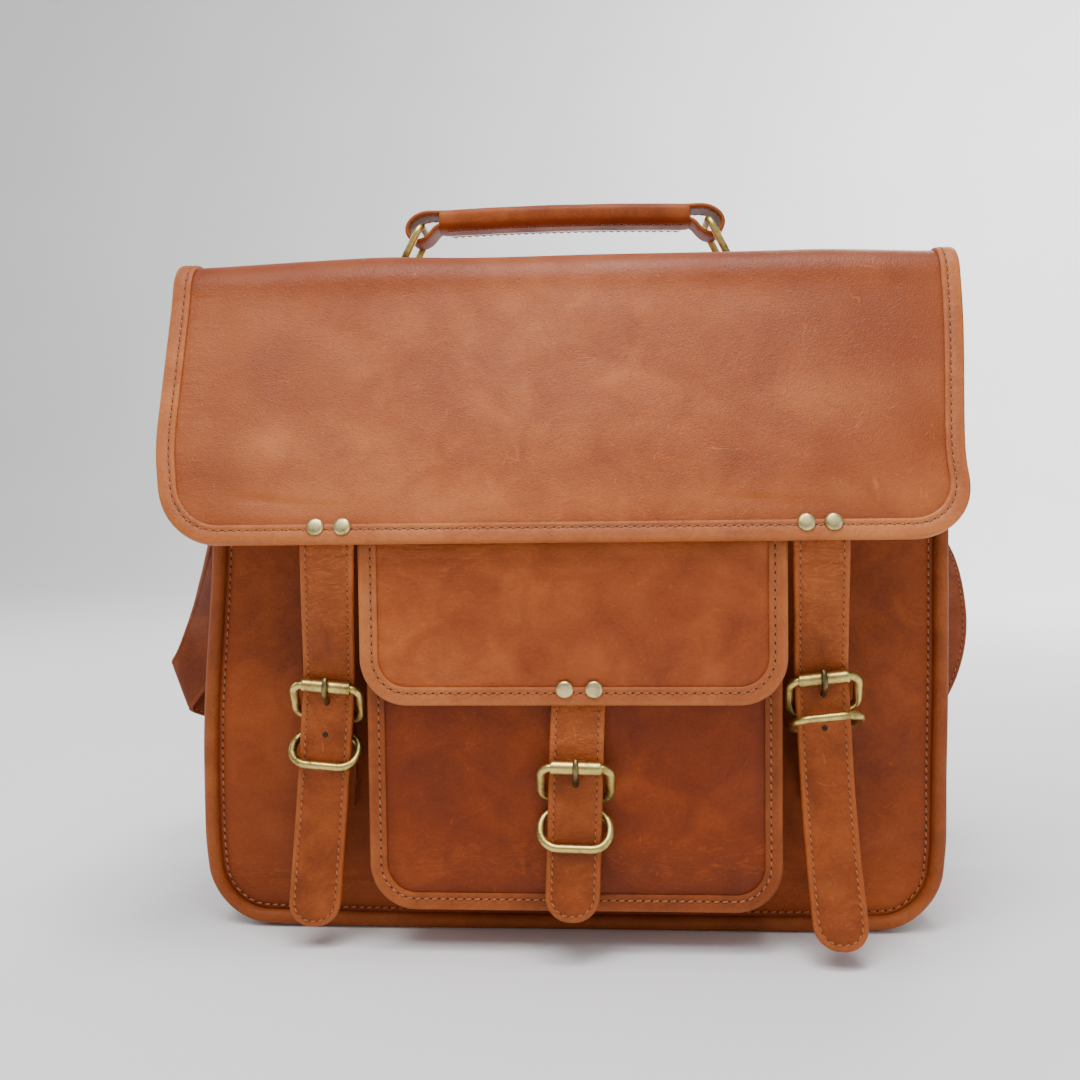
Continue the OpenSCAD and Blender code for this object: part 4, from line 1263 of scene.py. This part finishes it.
def strap(name, on_flap, body, flap_body, nodes, seed):
    """A stitched two-layer strap with a round tip. Its head is sewn behind the edge of the flap that
    on_flap draws on."""
    data = STRAPS[name]
    under = -LEATHER - STRAP_T / 2 - 0.6
    head = [on_flap(data["head_x"], s, under) for s in HEAD_ROWS]
    points = strap_points(data, head)
    swing = hinge("pocket_strap_swing" if name == "pocket" else f"strap_{name}_swing")

    def relief(x, s):
        return 0.25 * waves(x * 2, s, 34, seed)
    place = ribbon(points, X, relief)
    tip_r = STRAP_W / 2 - 0.8
    outline = (STRAP_W, 0, place.length, tip_r)

    def worn(gap, x, s):
        rim = 0.42 * (1 - ease(gap, 1.6, 3.0))
        above = ease(s, place.length * 0.62, place.length * 0.72)
        patchy = 0.22 * ease(waves(x, s, 26, seed + 1), 0.2, 0.9)
        dark = 0.45 * ease(waves(x, s, 34, seed + 2), 0.0, 0.9) * ease(gap, 2, 5) * (1 - 0.7 * above)
        return marks(rim + patchy + 0.22 * above, dark, above)
    leaf = sheet(place, outline, strap_side, strap_back, STRAP_EDGE, worn, (150, 12, 8))
    top = swing + [0, 0, 5]
    bend = (flap_body, body, top, top + np.array([0, 0.5, -17]))
    piece(f"{name}_strap_leather", [leaf], ["strap"], None, nodes, bend=bend)
    seam = pouch_line(STRAP_W, 0, place.length - 6, tip_r, 2.8, 60, 12, 8)[0]
    holes = strap_holes(place, hole_places(name, place), float(strap_side(STRAP_W / 2)) + 0.17)
    threads = stitches(place, seam, FINE_STITCH, 1.25, thick=0.4)
    piece(f"{name}_strap_seam", threads + holes, ["thread", "hole", "strap"], None,
          bend=bend)


def hole_places(name, place):
    """Where the prong passes through, and the spare hole below it, along the strap from its tip."""
    s = np.linspace(0, place.length, 400)
    heights = place(np.zeros(400), s, np.zeros(400))[:300, 2]
    drops = [7.6] if name == "pocket" else [7.6, 23.5]
    return [float(np.interp(STRAPS[name]["z"] - drop, heights, s[:300])) for drop in drops]


# ---------- buckles ----------

def buckle_axes(name):
    """Where a fastening's frame pivots, its roller spins and its keeper swings."""
    return (hinge(f"frame_{name}_tilt"), hinge(f"roller_{name}_spin"), hinge(f"keeper_{name}_swing"))


def lean_of(vector):
    """How far a direction in the Y and Z plane leans forward from upright, in degrees."""
    return math.degrees(math.atan2(-vector[1], vector[2]))


TAB_W = 23.6
SLOT_END = -5.2               # how far down the prong's slot reaches
# The tabs' middle lines from the buckle's bar down, as [y, z]
SIDE_TAB_LINE = [[0.6, -1], [2.4, -8.8], [16.8, -27], [16.8, -47]]
POCKET_TAB_LINE = [[LOOP_R - 2, -0.5], [LOOP_R - 2, -28]]

# The prong from its eye, through the strap and over the roller, as [y, z] from the pivot bar
PRONG = [[-0.8, 2.2], [-5.6, 6.2], [-9.4, 9.8], [-14.1, 12.6], [-16.1, 16.2], [-15.4, 19.2], [-14.2, 20.8]]


# The roller's outline, as [share of its length, radius]
ROLLER = [[0, 2.3], [0, 3.0], [0.012, 3.2], [0.05, 3.24], [0.08, 3.17], [0.5, 3.15], [0.92, 3.17],
          [0.95, 3.24], [0.988, 3.2], [1, 3.0], [1, 2.3]]
ROLLER_W = 23
PRONG_EYE_R = 2.9


def buckle(name):
    """Frame, roller, prong and keeper of one fastening."""
    tilt = STRAPS[name]["tilt"]
    pivot, roller, keeper = buckle_axes(name)
    level = turn([roller - pivot], "Y", -tilt)[0]
    lean = lean_of(level)

    def fitting(kind, parts, angle, spot, finish="brass"):
        """A metal piece drawn on the X axis, turned about it, tilted with the strap and put on its axis."""
        parts = [moved(one, lambda p: turn(turn(p, "X", angle), "Y", tilt) + spot) for one in parts]
        label = "keeper_ring" if kind == "keeper" else f"buckle_{kind}"
        metal(f"{name}_{label}", parts, f"{kind}_{name}", finish)
    loop = wire_loop(RING_W, FRAME_H, 5.0)
    thick = WIRE_R * (1.04 + 0.10 * np.exp(-((np.abs(loop[:, 0]) - RING_W / 2) / 3) ** 2))
    fitting("frame", [wire(loop, thick, Y, 16, True)], lean, pivot)
    fitting("roller", [rod([-ROLLER_W / 2, 0, 0], [ROLLER_W / 2, 0, 0], ROLLER, 32)], 0, roller)
    shaft = rounded([[0, *point] for point in PRONG], 3)
    radius = np.interp(np.linspace(0, 1, len(shaft)), [0, 0.75, 0.93, 0.98, 1], [1.4, 1.4, 1.25, 0.9, 0.3])
    a = np.linspace(0, 2 * math.pi, 24, endpoint=False)
    eye = np.stack([0 * a, PRONG_EYE_R * np.cos(a), PRONG_EYE_R * np.sin(a)], 1)
    fitting("prong", [wire(shaft, radius, X, 14), wire(eye, 1.15, X, 12, True)], 0, pivot, "steel")
    ring = wire(wire_loop(RING_W, KEEPER_H, 8.4), WIRE_R * 1.06, Y, 16, True)
    fitting("keeper", [ring], 90 + STRAPS[name]["keeper_drop"], keeper)


def chape(name, line):
    """The folded tab that holds a buckle and its keeper, slotted for the prong. line is its middle line
    from the buckle's bar down, as [y, z]."""
    tilt = STRAPS[name]["tilt"]
    pivot, _, keeper = buckle_axes(name)
    knuckle = turn([keeper - pivot], "Y", -tilt)[0]
    route = rounded(line, 2)
    ahead = unit(np.gradient(route, axis=0))
    across = np.stack([-ahead[:, 1], ahead[:, 0]], 1)
    # the two layers spread where they hold the keeper's bar
    gap = np.hypot(*(route - knuckle[1:]).T)
    half = 2.1 + 1.9 * np.exp(-(gap / 3.2) ** 2)
    near, far = route + across * half[:, None], route - across * half[:, None]
    heading = math.degrees(math.atan2(-ahead[0, 1], -ahead[0, 0]))
    knob = arc((0, 0), LOOP_R, heading + 75, heading - 75, 17)
    if np.linalg.norm(knob[-1] - near[0]) > np.linalg.norm(knob[0] - near[0]):
        knob = knob[::-1]
    outline = np.vstack([near[::-1], knob[::-1], far])
    edge, slot = TAB_W / 2, 2.3
    xs = [-edge, -edge + 0.5, -slot, -slot, slot, slot, edge - 0.5, edge]
    rings = []
    for k, x in enumerate(xs):
        shape = outline.copy()
        if k in (3, 4):       # the inner two, which the slot cuts short
            shape[:, 1] = np.minimum(shape[:, 1], SLOT_END)
        if abs(x) == edge:
            centre = np.stack([np.interp(shape[:, 1], route[::-1, 1], route[::-1, 0]), shape[:, 1]], 1)
            shape = shape + 0.12 * (centre - shape)
        rings.append(np.stack([np.full(len(shape), x), shape[:, 0], shape[:, 1]], 1))
    points = np.array(rings)
    flat = points[..., [0, 2, 1]]
    points = turn(points.reshape(-1, 3), "Y", tilt) + pivot
    holder = part(points, flat, ring_faces(len(xs), len(outline)), 0.2)
    piece(f"{name}_buckle_tab", [holder], ["strap"], "bag", [f"chape_{name}"], sharp=50)


# ---------- handle ----------

# The middle line of the handle's end loop, as [x, z] for the left end
HANDLE_LOOP = [[-60, 365.1], [-66, 365.1], [-73, 365.4], [-78.5, 363.6], [-82.3, 360], [-83.2, 355.6],
               [-80.8, 351.6], [-76.4, 350.2], [-71.6, 352.6], [-67.4, 358.4], [-60, 359.2]]
HANDLE_W = 19.6
HANDLE_RING_W = 28
GRIP_END, GRIP_HEIGHT = 75.0, 357.5    # where the rings pass through the handle's end loops
ANCHOR_L = 41.0


def handle():
    """A wrapped grip with a folded leather loop at each end, two rings and two anchors."""
    parts, seams = [], []
    for side in (-1, 1):
        route = [[-side * x, 0, z] for x, z in HANDLE_LOOP]
        place = ribbon(route, Y * side, None, 3)
        half = HANDLE_W / 2
        edge = [[0, 0.35], [0.3, 0.8], [0.9, 1.1], [1.6, 1.12], [2.2, 0.95], [2.9, 1.15]]
        parts.append(rimmed(place, half, edge, 2.4, 70, (0.4, 0.5, 2.0)))
        for x in (2.2 - half, half - 2.2):
            seams += stitches(place, [[x, 8], [x, 34]], FINE_STITCH, 1.0, thick=0.38)
    piece("handle_end_loops", parts, ["handle"], "handle", ["handle_strap"])
    sewn("handle_loop_seams", seams, "handle")
    grip()
    rings()


def grip():
    """The wrapped grip: two rounded faces that meet in a stitched seam below."""
    low, high = box("handle_grip")
    half_l = high[0]
    middle = (low[2] + high[2]) / 2
    wide, tall = high[1], (high[2] - low[2]) / 2

    def bow(x):
        """How far the grip's middle curves up."""
        return 1.3 * (1 - (x / half_l) ** 2) - 0.9
    # round the grip: a circle drawn out towards a rectangle
    t = np.linspace(0, 2 * math.pi, 48, endpoint=False)
    y, z = (size * np.sign(c) * np.abs(c) ** 0.62 for size, c in ((wide, np.cos(t)), (tall, np.sin(t))))
    xs = np.concatenate([[-half_l, -half_l + 0.5, -half_l + 1.5], np.linspace(-half_l + 4, half_l - 4, 60),
                         [half_l - 1.5, half_l - 0.5, half_l]])
    small = np.interp(half_l - np.abs(xs), [0, 0.5, 1.5, 4, 20], [0.80, 0.92, 0.97, 0.99, 1.0])
    ripple = 1 + 0.006 * waves(xs[:, None], t[None, :] * 12, 22, 71)
    points = np.stack([np.broadcast_to(xs[:, None], ripple.shape), y * small[:, None] * ripple,
                       middle + bow(xs)[:, None] + z * small[:, None] * ripple], -1)
    flat = np.stack([points[..., 0], t[None, :] * 9 + 0 * xs[:, None], 0 * ripple], -1)
    worn = 0.25 * np.exp(-((half_l - np.abs(xs)) / 3) ** 2)[:, None]
    worn = worn + 0.25 * ease(waves(xs[:, None], t * 9, 24, 73), 0.1, 0.9)
    body = part(points, flat, ring_faces(len(xs), 48), worn)
    piece("handle_grip_wrap", [body], ["handle"], "handle", ["handle_grip"])

    def under(x, y, h):
        x, y, h = np.broadcast_arrays(x, y, h)
        return np.stack([x, y, middle - tall + bow(x) - h], -1)
    seams = []
    for y in (-7, 7):
        seams += stitches(under, [[-half_l + 5, y], [half_l - 5, y]], 3.8, 0.1)
    sewn("handle_grip_seams", seams, "handle")


def rings():
    """The two handle rings and the leather anchors that hold them to the flap."""
    for side, name in ((-1, "left"), (1, "right")):
        foot = hinge(f"ring_{name}_lean")
        head = np.array([side * GRIP_END, 0, GRIP_HEIGHT])
        lean = math.degrees(math.atan2(foot[0] - head[0], head[2] - foot[2]))
        height = float(np.linalg.norm(head - foot))
        loop = turn(wire_loop(HANDLE_RING_W, height, 4.5), "Z", 90)
        ring = wire(turn(loop, "Y", -lean), WIRE_R, turn([X], "Y", -lean)[0], 16, True)
        metal(f"handle_ring_{name}", [moved(ring, lambda p: p + foot)], f"ring_{name}")
        outer = side * ANCHOR_L
        route = [[foot[0] + outer, FLAP_TOP + 3.2], [foot[0] + side * 8, FLAP_TOP + 3.4],
                 [foot[0] + side * 3.6, FLAP_TOP + 6.6]]
        route += [[foot[0] + side * y, foot[2] + z] for y, z in arc((0, 0), LOOP_R - 1.0, 50, 270, 14)]
        route += [[foot[0] + side * 8, FLAP_TOP + 1.2], [foot[0] + outer, FLAP_TOP + 1.1]]
        tab, seam = folded_tab(route, side, HANDLE_W / 2, 4, 30)
        piece(f"handle_anchor_{name}_tab", [tab], ["handle"], "flap_top",
              [f"handle_anchor_{name}"])
        sewn(f"handle_anchor_{name}_seam", seam, "flap_top")


def folded_tab(route, side, half, near, far):
    """A tab that folds round a bar along a route of [x, z], and the box of stitches that closes it between
    near and far along the tab. Negative distances count from its end."""
    place = ribbon([[x, 0, z] for x, z in route], Y * side, None, 2)
    edge = [[0, 0.4], [0.3, 0.85], [0.9, 1.0], [1.8, 1.0], [2.4, 1.0]]
    tab = rimmed(place, half, edge, 2.6, 110, (0.35, 0.5, 2.0))
    near, far = (at if at > 0 else place.length + at for at in (near, far))
    x = half - 2.2
    corners = [[-x, near], [x, near], [x, far], [-x, far], [-x, near]]
    return tab, stitches(place, corners, FINE_STITCH, 0.95, thick=0.38)


# ---------- shoulder strap ----------

def sling():
    """The shoulder strap: one long stitched strip, folded over at the left. Each half is split near its ring
    into three lengths."""
    middle = [row[0] for row in SLING]
    sides = [row[1] for row in SLING]
    place = ribbon(middle, np.array(sides, float) / 16.0, lambda x, s: 0.5 * waves(x, s, 60, 81), 3)
    half = SLING_W / 2
    edge = [[0, 0.4], [0.25, 1.0], [0.8, 1.4], [2.0, 1.45], [2.8, 1.15], [3.6, 1.45], [half, 1.6]]
    for name, near, ahead in (("left", 0, 1), ("right", place.length, -1)):
        chain = [(0, 16, 4, 12, f"eye_{name}", f"hook_{name}"),
                 (16, 44, 23, 37, f"hook_{name}", f"d_ring_{name}"),
                 (44, place.length / 2, 55, 160, f"d_ring_{name}", "bag")]
        for k, (start, end, give, rest, first, second) in enumerate(chain):
            low, high = sorted((near + ahead * start, near + ahead * end))
            bend = (first, second, place(0, near + ahead * give, 0), place(0, near + ahead * rest, 0))
            ss = np.linspace(low, high, 12 + int((high - low) / 2))
            parts = [rimmed(place, half, edge, 3.5, ss, (0.4, 0.8, 2.4))]
            if k == 0:
                parts.append(sling_loop(place, name, near, ahead))
            hidden = ["shoulder_strap"] if (k, name) == (2, "left") else []
            piece(f"shoulder_strap_{name}_{k + 1}", parts, ["sling"], None, hidden,
                  bend=bend)
            lines = []
            for x in (2.8 - half, half - 2.8):
                line = np.stack([np.full(100, x), np.linspace(low, high, 100)], 1)
                lines += stitches(place, line, STITCH, 1.15)
            sewn(f"shoulder_strap_seam_{name}_{k + 1}", lines, None, bend)


def sling_loop(place, name, near, ahead):
    """A loop of leather that holds the end of the shoulder strap to its ring."""
    bar = np.array([hinge(f"hook_{name}_swing")[0], 0, box(f"eye_{name}")[0][2] + WIRE_R])
    reach = near + ahead * np.linspace(15, 1.5, 8)
    outer, inner = place(0, reach, 2.4), place(0, reach[::-1], -2.4)
    side = np.sign(outer[-1, 0] - inner[0, 0])
    curl = np.radians(np.linspace(-12, 192, 14))
    over = bar + np.stack([side * 3.3 * np.cos(curl), 0 * curl, 3.3 * np.sin(curl)], 1)
    middle = np.vstack([outer, over, inner])
    wide = place(1, reach, 0) - place(0, reach, 0)
    sides = np.vstack([wide, np.tile(wide[-1], (14, 1)), wide[::-1]])
    loop = ribbon(middle, sides, None, 1)
    return rimmed(loop, SLING_LOOP_W / 2, [[0, 0.3], [0.25, 0.65], [0.8, 0.75]], 3.5, 90, (0.4, 0.3, 1.2))


def side_tab(side, name):
    """The tab on a side gusset that holds a D-ring: its leather and its stitches."""
    bar = hinge(f"d_ring_{name}_swing")
    face_x = BODY_W / 2
    route = [[face_x + 1.1, bar[2] + 38], [face_x + 1.2, bar[2] + 10], [face_x + 1.8, bar[2] + 5]]
    route += arc((abs(bar[0]), bar[2]), LOOP_R - 1.0, 160, 390, 14).tolist()
    route += [[face_x + 3.6, bar[2] + 10], [face_x + 3.4, bar[2] + 38]]
    return folded_tab([[side * x, z] for x, z in route], side, TAB_W / 2, -4, -26)


def clips():
    """Tabs on the side gussets, and the hardware that hangs from them."""
    tabs, seams = [], []
    for side, name in ((-1, "left"), (1, "right")):
        tab, seam = side_tab(side, name)
        tabs.append(tab)
        seams += seam
        hardware(name)
    piece("side_tab_leather", tabs, ["strap"], "bag", ["side_tabs"])
    sewn("side_tab_seams", seams, "bag")


# Outlines of the clip's swivel barrel, of its stem, of the knob on its gate and of the eye's collar, as
# [share of the length, radius]
BARREL = [[0, 2.2], [0.02, 3.2], [0.07, 3.6], [0.16, 3.6], [0.19, 3.0], [0.24, 3.0], [0.27, 3.5], [0.8, 3.4],
          [0.92, 2.8], [1, 2.0]]
STEM = [[0, 2.4], [0.06, 3.3], [0.2, 3.4], [0.27, 2.6], [0.3, 1.9], [1, 1.9]]
THUMB_KNOB = [[0, 1.0], [0.2, 1.6], [1, 1.6]]
COLLAR = [[0, 2.0], [0.02, 4.3], [0.2, 4.5], [0.8, 4.4], [1, 3.6]]
BOW_R = 14.0                  # of the D-ring
CLAW_R = 5.8                  # of the clip's hook
EYE_W = 37
EYE_H = 14


def hardware(name):
    """A D-ring, a spring clip and a swivel eye."""
    bar = hinge(f"d_ring_{name}_swing")
    low = box(f"d_ring_{name}")[0][2] + WIRE_R
    a = np.radians(np.linspace(0, 180, 30))
    arch = np.stack([0 * a, BOW_R * np.cos(a), low - bar[2] + BOW_R - BOW_R * np.sin(a)], 1)
    straight = [[0, y, 0] for y in np.linspace(-BOW_R, BOW_R, 14)]
    line = np.vstack([straight, [[0, BOW_R, -2]], arch, [[0, -BOW_R, -2]]])
    ring = moved(wire(line, WIRE_R, X, 14, True), lambda p: p + bar)
    metal(f"d_ring_{name}_wire", [ring], f"d_ring_{name}")
    x = hinge(f"hook_{name}_swing")[0]
    foot, top = (corner[2] for corner in box(f"hook_{name}"))
    centre = np.array([x, 0, top - CLAW_R - WIRE_R])
    a = np.radians(np.linspace(-60, 250, 40))
    curl = centre + np.stack([CLAW_R * np.cos(a), 0 * a, CLAW_R * np.sin(a)], 1)
    thick = np.interp(np.linspace(0, 1, 40), [0, 0.2, 0.8, 1], [1.5, 1.9, 2.0, 2.6])
    a = np.radians(np.linspace(-62, -20, 8))
    gate = centre + np.stack([(CLAW_R + 0.3) * np.cos(a), 0 * a, (CLAW_R + 0.3) * np.sin(a)], 1)
    shank = top - 2 * CLAW_R - 2 * WIRE_R + 1.9
    base = foot + 8.6
    parts = [wire(curl, thick, Y, 14), wire(gate, 1.2, Y, 10), rod([x, 0, base], [x, 0, shank + 1.5], BARREL),
             rod([x, 0, foot], [x, 0, base + 1], STEM),
             rod([x, -4.4, base + 6], [x, -2.6, base + 6], THUMB_KNOB, 16)]
    metal(f"hook_{name}_clip", parts, f"hook_{name}")
    low, high = box(f"eye_{name}")
    foot = low[2] + WIRE_R
    loop = turn(wire_loop(EYE_W, EYE_H, 4.5), "Z", 90)
    eye = moved(wire(loop, WIRE_R, X, 14, True), lambda p: p + [x, 0, foot])
    collar = rod([x, 0, foot + EYE_H - 1.6], [x, 0, high[2]], COLLAR)
    metal(f"eye_{name}_ring", [eye, collar], f"eye_{name}")


# ---------- everything ----------

camera()
MATERIAL = make_materials()
stage()
body_panels()
gusset()
lining()
divider()
pocket()
on_pocket_flap = pocket_flap()
flap()
rivets(on_pocket_flap)
for strap_name, seed in (("left", 90), ("right", 95)):
    strap(strap_name, flap_place, f"strap_{strap_name}", "flap_front",
          [f"strap_{strap_name}"] + (["strap_heads"] if strap_name == "left" else []), seed)
strap("pocket", on_pocket_flap, "pocket_strap", "pocket_flap", ["pocket_strap", "pocket_strap_head"], 99)
for fastening in STRAPS:
    buckle(fastening)
    chape(fastening, POCKET_TAB_LINE if fastening == "pocket" else SIDE_TAB_LINE)
handle()
sling()
clips()
